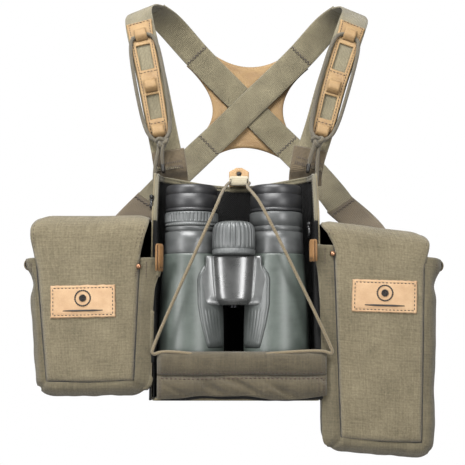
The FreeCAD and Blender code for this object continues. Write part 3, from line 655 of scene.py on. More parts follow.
def barrels():
    """Armoured casings with a stepped neck; the left one narrows under its dioptre ring."""
    for side, sign in SIDES.items():
        centre = barrel_centre(sign)
        armour = [(22, -88), (25.4, -88), (26.1, -87.5)]
        armour += [(armour_radius(z), z)
                   for z in (-86, -80, -70, -60, -50, -45, -36, -26, -17, -8, 0, 8, 16, 22.5)]
        armour += [(22.5, 23.6), (22.0, 24), (21.2, 24.1), (21.2, 22), (20, 0), (21.5, -10), (22, -20)]
        shell = lathe(side + "_barrel_armour", armour, centre, ARMOUR, segments=128)
        place(shell, "binocular", "armour", side + "_barrel")
        neck = [(21.3, 23.4), (21.9, 24.0), (22.25, 24.6), (22.1, 28), (21.75, 35), (21.55, 41.5),
                (21.1, 41.7), (21.1, 42.1), (21.5, 42.3), (21.42, 45.4), (21.2, 45.9)]
        if side == "left":
            neck += [(18.45, 46), (18.45, 57.9)]
        else:
            neck += [(20.9, 46.1), (20.9, 46.6), (21.5, 46.9), (21.5, 56.6), (21.2, 57.3),
                     (20.6, 57.5), (20.6, 57.8), (19, 58)]
        neck += [(17.5, 58), (17.5, 67.2), (16.9, 68), (14.4, 68), (14, 67.4), (14, 30), (16, 23.4)]
        upper = lathe(side + "_barrel_neck", neck, centre, NECK, segments=128)
        place(upper, "binocular", "armour")


def eyecups():
    """Twist-up cups with a rolled lip, a fine line under it and a dark funnel."""
    for side, sign in SIDES.items():
        outer = [(17.56, 58.3), (20.4, 58.3), (20.9, 58.7), (21, 59.3), (21, 60.4), (20.6, 60.7),
                 (20.6, 61.1), (21, 61.4), (20.95, 66), (20.95, 71.6), (20.6, 71.9), (20.6, 72.3),
                 (20.9, 72.6), (20.85, 76.8), (20.4, 78.8), (19.4, 79.8), (18.4, 80), (17.6, 79.6),
                 (17.0, 78.6), (17.0, 72), (17.56, 68.7)]
        cup = lathe(side + "_eyecup_shell", outer, barrel_centre(sign), CUP, segments=128)
        place(cup, side + "_eyecup", "cup_rubber", side + "_eyecup")
        funnel = [(17.02, 78.3), (16.2, 76.6), (15.2, 74), (15.0, 70), (15.0, 68.7), (17.02, 68.7)]
        dark = lathe(side + "_eyecup_funnel", funnel, barrel_centre(sign), CUP_INNER)
        place(dark, side + "_eyecup", "cup_rubber")


def dioptre():
    """Ring with upright finger slots over a bead, and small marks along its lower edge."""
    slots = 44

    def slot(angle, radius, z):
        if radius < 20 or not 49.8 < z < 56.6:
            return 0
        return -0.75 * ramp(math.cos(angle * slots), 0.1, 0.7)

    profile = [(18.56, 46.3), (20.6, 46.3), (21.2, 46.5), (21.6, 47.0), (21.7, 48.6), (21.2, 49.0),
               (21.2, 49.4), (21.8, 49.7), (21.8, 50.2), (21.8, 52), (21.8, 54.5), (21.8, 56.2),
               (21.7, 56.8), (21.2, 57.6), (20.4, 57.8), (18.56, 57.8)]
    ring = lathe("dioptre_ring_grip", profile, barrel_centre(-1), GRIP, segments=slots * 8, ripple=slot)
    place(ring, "dioptre_ring", "grip_rubber", "dioptre_ring")
    x, y = barrel_centre(-1)
    marks = Thread()
    for i in range(-14, 15):
        angle = math.radians(-90 + i * 5.2)
        out = Vector((math.cos(angle), math.sin(angle), 0))
        tall = 0.9 if i % 4 else 1.5
        spot = Vector((x, y, 47.1)) + out * 21.66
        marks.stitch(spot, spot + Vector((0, 0, tall)), out, thick=0.32, proud=0.04)
    place(marks.make("dioptre_marks", MARK), "dioptre_ring", "grip_rubber")


def focus_wheel():
    """Fluted wheel with a domed top and a knurled foot, on its shaft."""
    flutes, teeth = 26, 78

    def flute(angle, radius, z):
        if radius < 12:
            return 0
        if z < 27:
            return -0.4 * ramp(math.cos(angle * teeth), -0.2, 0.6)
        depth = 1.15 * ramp(z, 27.5, 29.5) * (1 - ramp(z, 45.5, 48.8))
        return -depth * ramp(math.cos(angle * flutes), -0.1, 0.75)

    profile = [(3, 4), (3, 22.5), (15.6, 22.5), (16.9, 22.9), (17.2, 23.6), (17.2, 26.2), (16.6, 26.9),
               (16.6, 27.4), (17.1, 28), (17.1, 30), (17.1, 35), (17, 40), (16.6, 43), (15.9, 45.2),
               (14.8, 46.9), (13.4, 48.1), (11.4, 48.8), (8, 49), (4, 49), (0.2, 49), (0.2, 4)]
    wheel = lathe("focus_wheel_grip", profile, (MIDDLE, -54), GRIP, segments=teeth * 4, ripple=flute)
    place(wheel, "focus_wheel", "grip_rubber", "focus_wheel")


# Half widths of the glossy column and of the whole casting at each height.
COLUMN = [(-17, 10.5), (-14, 12.6), (-8, 13.8), (8, 15.0), (22, 15.8)]
CASTING = [(-17, 19.5), (-16, 21.8), (-12, 24.4), (-4, 26.2), (3, 26.6), (8, 25.6), (12, 23.2),
           (15, 22.4), (22, 22.2)]


def barrel_face(dx, z):
    """How far forward a barrel's armour reaches, at a distance either side of the middle."""
    reach = armour_radius(z)
    return AXIS_Y - math.sqrt(max(reach ** 2 - (abs(dx) - HALF) ** 2, 0))


def bridge():
    """Hinge casting: a glossy rounded column between arms that step out over the barrels."""

    def front(dx, z):
        """Depth of the casting's front at a distance either side of the middle."""
        across, column = abs(dx), table(z, COLUMN)
        share = across / column
        bulge = -61.8 + 3.4 * share ** 2 + 1.6 * share ** 6 + 2.6 * ramp(-z, 10.5, 16.5) ** 2
        if across <= column:
            return bulge
        arm = lerp(-57.0, -57.8, ramp(across, column, 21))
        arm += 2.2 * ramp(-z, 9, 17) * (1 - ramp(across, column, 24))
        arm = min(arm, barrel_face(dx, z) - 0.9)
        edge = table(z, CASTING) - across
        arm += 1.1 * (1 - ramp(edge, 0, 1.2))
        groove = 0.7 * math.exp(-((across - column - 1.0) / 0.5) ** 2)
        return lerp(bulge, arm, ramp(across, column, column + 0.9)) + groove

    rows = []
    levels = 52
    for i, z in enumerate(steps(CASTING[0][0], CASTING[-1][0], levels)):
        wide = table(z, CASTING)
        lip = 0.9 * (1 - ramp(min(i, levels - i), 0, 2))
        face = [(MIDDLE + dx, front(dx, z) + lip, z) for dx in steps(-wide, wide, 96)]
        back = [(MIDDLE + dx * 0.5, -30, z) for dx in (wide, 0, -wide)]
        rows.append(face + back)
    casting = face_out(grid("bridge_casting", rows, GLOSS, closed=True, cap=True))
    repaint(casting, PLATE, lambda p, normal: abs(p.x - MIDDLE) > table(p.z, COLUMN) + 0.5)
    place(casting, "binocular", "bridge_plastic", "bridge")


def thumb_pads():
    """Shield-shaped inlays on the inner front of each barrel, ribbed near the foot."""
    # Height, and the inner and outer edge's distance from the middle.
    outline = [(-50.5, 9.6, 19.6), (-49, 8.8, 20.6), (-32, 8.6, 25.0), (-17, 9.0, 27.8), (3, 10, 28.3),
               (7, 12, 27.4), (12, 17, 24.2), (14.5, 19, 22.8)]
    levels, columns = 56, 32
    parts = []
    for sign in (-1, 1):
        x0, y0 = barrel_centre(sign)
        rows = []
        for i, z in enumerate(steps(outline[0][0], outline[-1][0], levels)):
            inner = table(z, [(row[0], row[1]) for row in outline])
            outer = table(z, [(row[0], row[2]) for row in outline])
            reach = armour_radius(z)
            row = []
            for j in range(columns + 1):
                share = j / columns
                x = MIDDLE + sign * lerp(inner, outer, share)
                off = min(abs(x - x0), reach - 0.2)
                edge = min(share, 1 - share) * columns
                rim = ramp(min(edge, (i + 0.01) * 0.9, (levels - i + 0.01) * 0.9), 0, 2.2)
                rise = lerp(-0.5, 0.85, rim)
                if -47.5 < z < -20 and 5 < j < 27:
                    ribs = ramp(math.cos((j - columns / 2) * math.pi / 2), 0.1, 0.8)
                    rise += 0.8 * ribs * ramp(z, -47.5, -46) * (1 - ramp(z, -23, -20))
                radius = reach + rise
                y = y0 - math.sqrt(max(radius ** 2 - (off * radius / reach) ** 2, 1))
                row.append((x0 + (x - x0) * radius / reach, y, z))
            rows.append(row)
        parts.append(grid("pad", rows, PAD, flip=sign > 0))
    pads = join("thumb_pad_shells", parts)
    thicken(pads, 0.8)
    place(pads, "binocular", "grip_rubber", "thumb_pads")


def binocular():
    """The binocular's pieces; its inner parts keep their CAD shapes and get materials."""
    barrels()
    eyecups()
    dioptre()
    focus_wheel()
    bridge()
    thumb_pads()
    for name, material in {"hinge_axle": STEEL, "objective_lenses": GLASS, "ocular_lenses": GLASS,
                           "prisms": PRISM}.items():
        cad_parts[name].data.materials.clear()
        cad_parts[name].data.materials.append(material)


# ------------------------------------------------------------------ pouches

# Corners seen from the front: outer top, inner top, inner base, outer base. Seams are x at the top and the
# base, and foot is the foot seam's height at the outer and inner side. slim narrows the outer wall, lip is the
# gusset's reach over the cradle's edge and how much more it has at the top, and tab is (x, low z, high z).
POUCHES = {
    "left": {"corners": [(-163, 20), (-67, 20), (-68.5, -88), (-155, -89)],
             "outer_seam": (-156, -146.5), "inner_seam": (-75, -79), "foot": (-76, -75),
             "flap_outer": -160.6, "flap_inner": -67.2, "rise": 33.0, "round": 15.0, "corner": 12.0,
             "slim": 0.0, "lip": (5.6, 3.0), "tab": (-60.6, 9.5, 30.5),
             "label": (-118.5, -14.5), "tilt": 1.2, "rivet": (-75.5, 13)},
    "right": {"corners": [(161, 19), (68, 31), (69.5, -131), (155.5, -136.5)],
              "outer_seam": (148.5, 144), "inner_seam": (78, 82), "foot": (-123, -118.5),
              "flap_outer": 152.5, "flap_inner": 67.6, "rise": 18.0, "round": 12.0, "corner": 9.0,
              "slim": 0.6, "lip": (3.6, 3.0), "tab": (62.6, 17.0, 34.0),
              "label": (116.5, -10.5), "tilt": -1.8, "rivet": (76.5, 23)},
}
POUCH_BACK = -15.0
POUCH_FRONT = -66.0
LIP_FRONT = -62.9
# Radius of the pouches' front upright edges and of their foot.
ROUND = 14.0


def ends_line(x, first, last):
    """Height at x on the line between two (x, z) points, level beyond them."""
    (a, high), (b, low) = first, last
    return lerp(high, low, min(max((x - a) / (b - a), 0), 1))


class Pouch:
    """The lines that a pouch's pieces share."""

    def __init__(self, side):
        self.side = side
        self.sign = SIDES[side]
        data = POUCHES[side]
        self.__dict__.update(data)
        self.outer_top, self.inner_top, self.inner_base, self.outer_base = data["corners"]

    def outer_x(self, z):
        (a, top), (b, base) = self.outer_top, self.outer_base
        return lerp(b, a, (z - base) / (top - base))

    def inner_x(self, z):
        (a, top), (b, base) = self.inner_top, self.inner_base
        return lerp(b, a, (z - base) / (top - base))

    def top(self, x):
        return ends_line(x, self.outer_top, self.inner_top)

    def base(self, x):
        return ends_line(x, self.outer_base, self.inner_base)

    def seam(self, which, z):
        x_top, x_base = getattr(self, which + "_seam")
        top, base = self.outer_top[1], self.foot[0]
        return lerp(x_base, x_top, (z - base) / (top - base))

    def foot_z(self, x):
        """The foot seam, which sags a little in its middle."""
        a, b = self.outer_base[0], self.inner_base[0]
        share = min(max((x - a) / (b - a), 0), 1)
        return lerp(self.foot[0], self.foot[1], share) - 1.2 * math.sin(math.pi * share)

    def seam_ends(self, over):
        """Outer and inner seam's top, raised by over, then the outer and inner foot corner."""
        tops = [(self.seam(which, z), z + over)
                for which, z in (("outer", self.outer_top[1]), ("inner", self.inner_top[1]))]
        return tops + [(self.seam(which, z), z) for which, z in zip(("outer", "inner"), self.foot)]

    def creases(self):
        """Seams and then mitres seen from the front: (start, end, depth, width)."""
        outer_top, inner_top, outer_foot, inner_foot = self.seam_ends(2)
        s = self.sign
        return [(outer_top, outer_foot, 2.8, 1.6), (inner_top, inner_foot, 2.8, 1.6),
                (outer_foot, inner_foot, 2.8, 1.6),
                (outer_foot, (outer_foot[0] + s * 7.5, outer_foot[1] - 7), 2.2, 1.2),
                (inner_foot, (inner_foot[0] - s * 8, inner_foot[1] - 9), 2.6, 1.3)]

    def ring(self, z_of, inset, radius):
        """One ring of points round the pouch at height z_of(x), moved in by inset."""
        z_mid = z_of(sum(c[0] for c in self.corners) / 4)
        a, b = sorted((self.outer_x(z_mid), self.inner_x(z_mid)))
        a, b = a + inset, b - inset
        front, back = POUCH_FRONT + inset, POUCH_BACK - inset
        rear = min(radius, 9.0)
        points = []

        def side_run(start, end, count):
            points.extend((lerp(start[0], end[0], i / count), lerp(start[1], end[1], i / count))
                          for i in range(count))

        def corner(cx, cy, r, first, count):
            for i in range(count):
                angle = math.radians(first + 90 * i / count)
                points.append((cx + r * math.cos(angle), cy + r * math.sin(angle)))

        side_run((a + radius, front), (b - radius, front), 44)
        corner(b - radius, front + radius, radius, -90, 16)
        side_run((b, front + radius), (b, back - rear), 13)
        corner(b - rear, back - rear, rear, 0, 5)
        side_run((b - rear, back), (a + rear, back), 22)
        corner(a + rear, back - rear, rear, 90, 5)
        side_run((a, back - rear), (a, front + radius), 13)
        corner(a + radius, front + radius, radius, 180, 16)
        near, far = self.inner_x(z_mid), self.outer_x(z_mid)
        flare = ramp(z_mid, self.inner_top[1] - 26, self.inner_top[1] - 4)
        lip = -self.sign * (self.lip[0] + self.lip[1] * flare) if inset < 1 or z_mid < self.foot[0] else 0
        shaped = []
        for x, y in points:
            share = ramp((x - far) / (near - far), 0.86, 0.97) if lip else 0
            share *= 1 - ramp(y, POUCH_FRONT + 8, POUCH_FRONT + 10.5)
            shaped.append((x + lip * share, lerp(y, LIP_FRONT, share), z_of(x)))
        return shaped

    def shell_rows(self, inset=0.0, rise=0.0, step=1.8):
        """Rings from the rim down the walls, round the foot and in to its middle."""
        radius = ROUND - inset
        count = round((self.outer_top[1] - self.outer_base[1] - ROUND) / step)
        rows = []
        for i in range(count + 1):
            share = i / count

            def z_of(x, share=share):
                return lerp(self.top(x) + rise, self.base(x) + ROUND, share)

            rows.append(self.ring(z_of, inset, radius))
        for i in range(1, 10):
            angle = math.radians(10 * i)
            drop_in = radius * (1 - math.cos(angle))

            def z_of(x, angle=angle):
                return self.base(x) + ROUND - radius * math.sin(angle)

            rows.append(self.ring(z_of, inset + drop_in, max(radius - drop_in, 0.8)))
        for extra in (2, 5, 8):

            def z_of(x):
                return self.base(x) + inset

            rows.append(self.ring(z_of, min(inset + radius + extra, 24), 0.5))
        return rows


def crease_distance(x, z, start, end):
    """Distance from (x, z) to a straight crease."""
    (ax, az), (bx, bz) = start, end
    along = (x - ax) * (bx - ax) + (z - az) * (bz - az)
    t = min(max(along / ((bx - ax) ** 2 + (bz - az) ** 2), 0), 1)
    return math.hypot(x - lerp(ax, bx, t), z - lerp(az, bz, t))


def pouch_relief(pouch):
    """How far the outer shell stands off its plain form."""
    lines = pouch.creases()

    def amount(p):
        facing = ramp(-p.y, 44, 56)
        groove = max(depth * math.exp(-(crease_distance(p.x, p.z, a, b) / width) ** 2)
                     for a, b, depth, width in lines)
        nearest = min(crease_distance(p.x, p.z, a, b) for a, b, depth, width in lines[:3])
        s = pouch.sign
        inside = (s * (p.x - pouch.seam("inner", p.z)) > 0 and s * (p.x - pouch.seam("outer", p.z)) < 0
                  and p.z > pouch.foot_z(p.x))
        if inside:
            hide = ramp(nearest, 0.3, 2.0) * facing
            return -1.7 * hide - groove * facing + 0.2 * wobble(p.x / 20, p.y / 20, p.z / 20)
        puff = 1.2 * (1 - math.exp(-(nearest / 3.5) ** 2)) - 1.6 * ramp(nearest, 5, 16)
        waves = 1.2 * wobble(p.x / 26, p.y / 22, p.z / 30, seed=1)
        waves += 0.7 * wobble(p.x / 9, p.y / 9, p.z / 14, seed=2)
        gather = 0.35 * wobble(p.x / 3.2, p.y / 6, p.z / 5, seed=3) * math.exp(-(nearest / 5) ** 2)
        return (puff - groove) * facing + waves * 0.8 + gather * facing

    return amount


def panel_half(pouch, h):
    """Outer and inner edge of the front panel and flap, h above the rim line or below it if negative."""
    z = pouch.outer_top[1] + h
    s, rise = pouch.sign, pouch.rise
    outer = pouch.seam("outer", min(z, pouch.outer_top[1]))
    inner = pouch.seam("inner", min(z, pouch.inner_top[1]))
    outer = lerp(outer, pouch.flap_outer, ramp(h, -12, rise * 0.55))
    inner = lerp(inner, pouch.flap_inner, min(max((h + 3) / rise, 0), 1) ** 1.2)
    turn = min(max((h - rise + pouch.corner) / pouch.corner, 0), 1)
    curl = 1 - math.sqrt(max(1 - turn ** 2, 0))
    return outer - s * pouch.corner * 0.8 * curl, inner + s * 1.6 * curl


def flap_path(pouch):
    """The panel's route up the front, over and down the back: (height above the rim line, depth)."""
    rise, bend = pouch.rise, pouch.round
    path = []
    height = 0.0
    while height < rise - bend - 0.5:
        path.append((height, POUCH_FRONT))
        height += 1.8
    for i in range(13):
        angle = math.radians(90 * i / 12)
        path.append((rise - bend + bend * math.sin(angle), POUCH_FRONT + bend * (1 - math.cos(angle))))
    y = POUCH_FRONT + bend + 2.5
    while y < POUCH_BACK - bend:
        path.append((rise, y))
        y += 2.5
    for i in range(9):
        angle = math.radians(90 * i / 8)
        path.append((rise - bend * (1 - math.cos(angle)), POUCH_BACK - bend + bend * math.sin(angle)))
    height = rise - bend - 2.5
    while height > 0.5:
        path.append((height, POUCH_BACK))
        height -= 2.5
    return path


def panel(pouch):
    """Front panel that runs from the foot seam up and on over the top as the flap, with the low and high
    place between which it goes over from the pouch to the lid."""
    columns = 56
    s = pouch.sign
    rows = []
    deepest = int((pouch.outer_top[1] - pouch.foot[0]) / 1.7)
    for i in range(deepest + 1):
        row = []
        for j in range(columns + 1):
            share = j / columns
            z_mid = lerp(pouch.foot[0], pouch.outer_top[1], i / deepest)
            outer, inner = panel_half(pouch, z_mid - pouch.outer_top[1])
            x = lerp(outer, inner, share)
            z = lerp(pouch.foot_z(x), pouch.top(x), i / deepest)
            a, b = sorted((pouch.outer_x(z), pouch.inner_x(z)))
            off = max(a + ROUND - x, x - b + ROUND, 0)
            y = POUCH_FRONT + ROUND - math.sqrt(max(ROUND ** 2 - off ** 2, 1))
            edge = min(x - min(outer, inner), max(outer, inner) - x)
            above = z - pouch.foot_z(x)
            tuck = 1.8 * math.exp(-(edge / 1.3) ** 2) * (1 - ramp(z - pouch.top(x), -9, -1))
            tuck = max(tuck, 1.8 * math.exp(-(above / 1.5) ** 2))
            crown = 0.9 * (1 - (2 * share - 1) ** 2)
            soft = 0.55 * wobble(x / 30, z / 34, 1.5, seed=4 + s)
            soft += 0.22 * wobble(x / 9, z / 12, 2.5, seed=5 + s)
            pull = 0.3 * wobble(x / 14, z / 3.5, 0, seed=6) * math.exp(-(edge / 6) ** 2)
            row.append((x, y + tuck - crown - soft * ramp(edge, 0, 6) - pull, z))
        rows.append(row)
    for height, depth in flap_path(pouch):
        over = depth > POUCH_FRONT + 0.1
        outer, inner = panel_half(pouch, height if depth < -40 else pouch.rise)
        row = []
        for j in range(columns + 1):
            share = j / columns
            x = lerp(outer, inner, share)
            edge = min(x - min(outer, inner), max(outer, inner) - x)
            a, b = sorted((pouch.outer_x(pouch.outer_top[1]), pouch.inner_x(pouch.inner_top[1])))
            off = max(a + ROUND - x, x - b + ROUND, 0)
            soft = 0.55 * wobble(x / 30, (height + depth) / 30, 1.5, seed=7 + s)
            y, z = depth, pouch.top(x) + 0.6 + height
            if depth < -20:
                z -= 1.6 * (1 - ramp(edge, 0, 9)) ** 2 * ramp(height, pouch.rise * 0.4, pouch.rise)
                z += soft * 1.3 + 0.4 if over else 0
            if depth < -40:
                curve = ROUND - math.sqrt(max(ROUND ** 2 - min(off, 11.5) ** 2, 1))
                crown = 0.9 * (1 - (2 * share - 1) ** 2) * (0.6 if over else 1)
                y += curve * (1 - ramp(height, 0, pouch.rise * 0.5)) - (crown + soft)
            row.append((x, y, z))
        rows.append(row)
    sheet = grid(pouch.side + "_panel", rows, CANVAS, LINING, flip=s > 0)
    thicken(sheet, 1.5, inner=1)
    hinge = (pouch.top(pouch.outer_top[0]) + pouch.top(pouch.inner_top[0])) / 2
    low, high = Vector((0, POUCH_FRONT, hinge - 6)), Vector((0, POUCH_FRONT, hinge + 5))
    if pouch.side == "right":
        slope = (pouch.outer_top[1] - pouch.inner_top[1]) / (pouch.outer_top[0] - pouch.inner_top[0])
        normal = Vector((-slope, 0, 1)).normalized()
        x = (pouch.outer_top[0] + pouch.inner_top[0]) / 2
        low = Vector((x, POUCH_FRONT, hinge)) - normal * 6
        high = Vector((x, POUCH_FRONT, hinge)) + normal * 5
    return sheet, low, high


def label(pouch, ground):
    """Leather label with a wavy cut edge, a stitched border and a plain printed ring over a bar."""
    wide, tall = 51.0, 25.5
    x0, z0 = pouch.label
    turn = math.radians(pouch.tilt)
    columns, lines = 60, 32

    def spot(a, b):
        """A place on the label, from its middle, as (x, z)."""
        return (x0 + a * math.cos(turn) - b * math.sin(turn), z0 + a * math.sin(turn) + b * math.cos(turn))

    rows = []
    for i in range(lines + 1):
        row = []
        for j in range(columns + 1):
            s, t = 2 * j / columns - 1, 2 * i / lines - 1
            a = s * (wide / 2 + 0.45 * wobble(t * 5, 3, 0, seed=8 + pouch.sign) * abs(s) ** 6)
            b = t * (tall / 2 + 0.45 * wobble(s * 9, 6, 0, seed=9 + pouch.sign) * abs(t) ** 6)
            x, z = spot(a, b)
            found = drop(ground, x, z)
            edge = min((1 - abs(s)) * wide / 2, (1 - abs(t)) * tall / 2)
            rise = 1.3 * ramp(edge, -0.1, 0.7) + 0.12 * ramp(edge, 2.6, 5)
            rise -= 0.45 * math.exp(-((edge - 2.2) / 0.5) ** 2)
            rise += 0.12 * wobble(a / 5, b / 5, 0, seed=10)
            row.append((x, found[0].y - 0.1 - rise, z))
        rows.append(row)
    plate = grid(pouch.side + "_label_plate", rows, LABEL_LEATHER, LEATHER_EDGE)
    thicken(plate, 1.0, inner=1)
    place(plate, "root", "leather", pouch.side + "_label")
    border = Thread()
    in_x, in_z = wide / 2 - 2.2, tall / 2 - 2.2
    corners = [(-in_x, -in_z), (in_x, -in_z), (in_x, in_z), (-in_x, in_z), (-in_x, -in_z)]
    for (a, b), (c, d) in zip(corners, corners[1:]):
        border.row(dropped(plate, [spot(a, b), spot(c, d)]), pitch=2.9, fill=0.6, thick=0.75)
    place(border.make(pouch.side + "_label_stitches", THREAD_BROWN), "root", "leather")
    mark = Thread()
    for radius, thick in ((6.0, 1.3), (2.2, 1.6), (0.9, 1.6)):
        ring = [(radius * math.cos(a), 2.6 + radius * math.sin(a)) for a in circle(24, closed=True)]
        for (a, b), (c, d) in zip(ring, ring[1:]):
            mark.row(dropped(plate, [spot(a, b), spot(c, d)]), pitch=6, fill=1.0, thick=thick)
    mark.row(dropped(plate, [spot(-15.5, -7.0), spot(15.5, -7.0)]), pitch=40, fill=1.0, thick=1.6)
    place(mark.make(pouch.side + "_label_mark", INK), "root", "leather")


def pouch_stitching(pouch, tub, sheet):
    """Hem rows on the flap, stitch rows and dark strips of painted shadow along the seams, and tacks at the
    seams' tops.
    """
    s = pouch.sign
    body_rows, flap_rows, tacks = Thread(), Thread(), Thread()
    for which, edge_sign in (("outer", -s), ("inner", s)):
        for inset in ((2.2, 5.0) if which == "inner" else (2.4,)):
            flat = []
            for h in steps(7.0, pouch.rise - pouch.round * 0.45, 14):
                outer, inner = panel_half(pouch, h)
                x = (outer if which == "outer" else inner) + edge_sign * inset
                flat.append((x, pouch.top(x) + h))
            flap_rows.row(dropped(sheet, flat), pitch=3.0, thick=0.45, fill=0.6)
    place(flap_rows.make(pouch.side + "_flap_stitches", THREAD_BROWN), pouch.side + "_lid", "canvas")
    for which, edge_sign in (("outer", -s), ("inner", s)):
        flat = [(pouch.seam(which, z) - edge_sign * 2.6, z)
                for z in (pouch.outer_top[1] - 14, pouch.foot[0] + 14)]
        body_rows.row(dropped(tub, flat), pitch=2.8, thick=0.35, fill=0.6, lift=-0.05)
    place(body_rows.make(pouch.side + "_gusset_stitches", THREAD_OLIVE), "root", "canvas")
    # Dark tubes laid in the seam grooves: painted shadow of the seams, not a real piping.
    seam_shadow_strips = []
    outer_top, inner_top, outer_foot, inner_foot = pouch.seam_ends(-3)
    x = (outer_foot[0] + inner_foot[0]) / 2
    for flat in ([outer_top, outer_foot], [inner_top, inner_foot],
                 [outer_foot, (x, pouch.foot_z(x)), inner_foot]):
        route = [spot + Vector((0, 0.15, 0)) for spot, out in dropped(tub, flat, 3.0)]
        seam_shadow_strips.append(tube("seam_shadow_strip", route, 1.5, PAINTED_SEAM_SHADOW, sides=8))
    place(join(pouch.side + "_painted_seam_shadows", seam_shadow_strips), "root", "canvas")
    rivet_x, rivet_z = pouch.rivet
    for k in range(4):
        z = rivet_z - 3 - k * 1.5
        x = rivet_x + s * 1.5
        tacks.row(dropped(sheet, [(x - 1.5, z), (x + 1.5, z + 0.5)]), pitch=3.2, thick=0.6, fill=0.95)
    top = pouch.inner_top[1]
    gusset_x = pouch.inner_x(top) + s * 2.6
    tacks.row(dropped(tub, [(gusset_x, top - 3), (gusset_x, top - 16)]), pitch=1.9, thick=0.7, fill=0.7)
    outer_x = pouch.outer_x(pouch.outer_top[1]) - s * 3.0
    tacks.row(dropped(tub, [(outer_x, pouch.outer_top[1] - 4), (outer_x, pouch.outer_top[1] - 12)]),
              pitch=2.0, thick=0.6, fill=0.7)
    place(tacks.make(pouch.side + "_seam_tacks", THREAD_BROWN), "root", "canvas")


def upright_disc(x, z, radius, y, count=24):
    """A ring of points that faces the front."""
    return [(x + radius * math.cos(a), y, z + radius * math.sin(a)) for a in circle(count)]


def pouch_fittings(pouch):
    """Folded leather tab over the inner wall, elastic loop at the outer corner and a domed rivet."""
    side, s = pouch.side, pouch.sign
    middle, z0, z1 = pouch.tab
    front, back, reach = -71.0, -66.9, 1.5
    rows = []
    for i, y in enumerate(steps(front, back, 14)):
        bulge = 0.6 * math.sin(math.pi * i / 14)
        turn = -s * 0.75 * (y - front)
        drop_front = 1.4 * wobble(i / 5, 1, 2, seed=11)
        arc = [(middle + turn + (reach + bulge * 0.4) * math.cos(a), z1 - 2.6 + 2.6 * math.sin(a))
               for a in half_turn(12)]
        leg = [z0 + drop_front, lerp(z0, z1, 0.35), z1 - 4]
        row = [(middle + turn + reach + bulge * 0.5, y, z) for z in leg] + [(x, y, z) for x, z in arc]
        row += [(middle + turn - reach - bulge * 0.5, y, z) for z in reversed(leg)]
        rows.append(row)
    tab = grid(side + "_tab_fold", rows, FOLD_LEATHER, LEATHER_EDGE, flip=True)
    thicken(tab, 1.3, inner=1)
    place(tab, "root", "leather", side + "_gusset_tab")
    rim = Thread()
    for i in range(5):
        y = lerp(front, back, (i + 0.5) / 5)
        x = middle - s * (reach + 0.3 + 0.75 * (y - front))
        rim.stitch((x, y - 0.7, z0 + 2.2), (x, y + 0.7, z0 + 2.2), (-s, 0, 0), thick=0.6)
    place(rim.make(side + "_tab_stitches", INK), "root", "leather")

    low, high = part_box(side + "_corner_loop")
    x0, x1, z0, z1 = low.x / MM, high.x / MM, low.z / MM, high.z / MM
    root, tip = (x1, x0) if s < 0 else (x0, x1)
    rows = []
    for i in range(7):
        y = lerp(low.y, high.y, i / 6) / MM
        rows.append([(lerp(root, tip, math.sin(a)), y, lerp(z0, z1, 0.5 - 0.5 * math.cos(a)))
                     for a in half_turn(14)])
    loop = grid(side + "_loop_band", rows, ELASTIC, flip=s < 0)
    thicken(loop, 1.0)
    place(loop, "root", "brown_elastic", side + "_corner_loop")

    dome = ((0.15, 1.55), (1.0, 1.5), (1.5, 1.2), (1.9, 0.6), (2.1, 0.0), (2.1, -1.5), (0.15, -1.5))
    rows = [upright_disc(*pouch.rivet, radius, -65.6 - rise) for radius, rise in dome]
    head = face_out(grid(side + "_rivet_head", rows, COPPER, closed=True, cap=True))
    place(head, "root", "rivet", side + "_rivet")


def pouches():
    for side in SIDES:
        pouch = Pouch(side)
        s = pouch.sign
        # The shell's darker canvas is painted shade on the gussets and the foot.
        tub = grid(side + "_tub", pouch.shell_rows(), CANVAS_GUSSET_PAINTED_SHADE, closed=True, cap=True, flip=True)
        open_top(tub)
        press(tub, pouch_relief(pouch))

        def flare(p):
            """The gusset's top leans out at its outer corner, and over the cradle's edge at its inner one."""
            rim = pouch.outer_top[1]
            near = ramp(p.z, rim - 16, rim - 4)
            outside = ramp(s * p.x, s * pouch.outer_top[0] - 10, s * pouch.outer_top[0])
            forward = ramp(-p.y, 30, 48)
            lean = 2.6 * ramp(p.z, rim - 15, rim - 5) * outside * forward
            waist = 2.4 * math.exp(-((p.z - rim + 21) / 7.0) ** 2) * outside * forward
            lean -= waist + pouch.slim * outside * (1 - ramp(p.z, rim - 26, rim - 12))
            inner_near = ramp(p.z, pouch.inner_top[1] - 34, pouch.inner_top[1])
            inside = 1 - ramp(s * p.x, s * pouch.inner_top[0], s * pouch.inner_top[0] + 9)
            over = 3.5 * inner_near * inside * ramp(-p.y, 56, 60)
            return (s * lean - s * over, 0, -1.2 * near * outside * (0.5 + wobble(p.y / 8, 0, 0, seed=12)))

        shift(tub, flare)
        thicken(tub, 1.6)
        place(tub, "root", "canvas", side + "_pouch")
        inner = grid(side + "_tub_lining", pouch.shell_rows(inset=2.9, rise=-0.6, step=4), LINING,
                     closed=True, cap=True, flip=True)
        open_top(inner)
        thicken(inner, 0.5)
        place(inner, "root", "black_lining", side + "_pouch_lining")

        sheet, low, high = panel(pouch)
        pouch_stitching(pouch, tub, sheet)
        label(pouch, sheet)
        pouch_fittings(pouch)
        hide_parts(side + "_lid")
        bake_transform(sheet)


# ------------------------------------------------------------------ cradle, cuff and retainer

# The cradle's side walls in x, the heights of its back's edge at the corners and in the middle, and its foot.
WALLS = {"left": -65.0, "right": 66.0}
RIM_HIGH = 92.0
RIM_LOW = 83.0
CRADLE_BASE = -91.0
# Height of a side wall's edge at each depth.
WALL_EDGE = [(-62, -48), (-50, 56), (-29, 92), (-6, 91.4)]


def rim_height(x):
    """The back's edge: high at the corners, dipping in the middle."""
    share = (x - WALLS["left"]) / (WALLS["right"] - WALLS["left"])
    return RIM_HIGH - (RIM_HIGH - RIM_LOW) * math.sin(math.pi * min(max(share, 0), 1)) ** 1.3


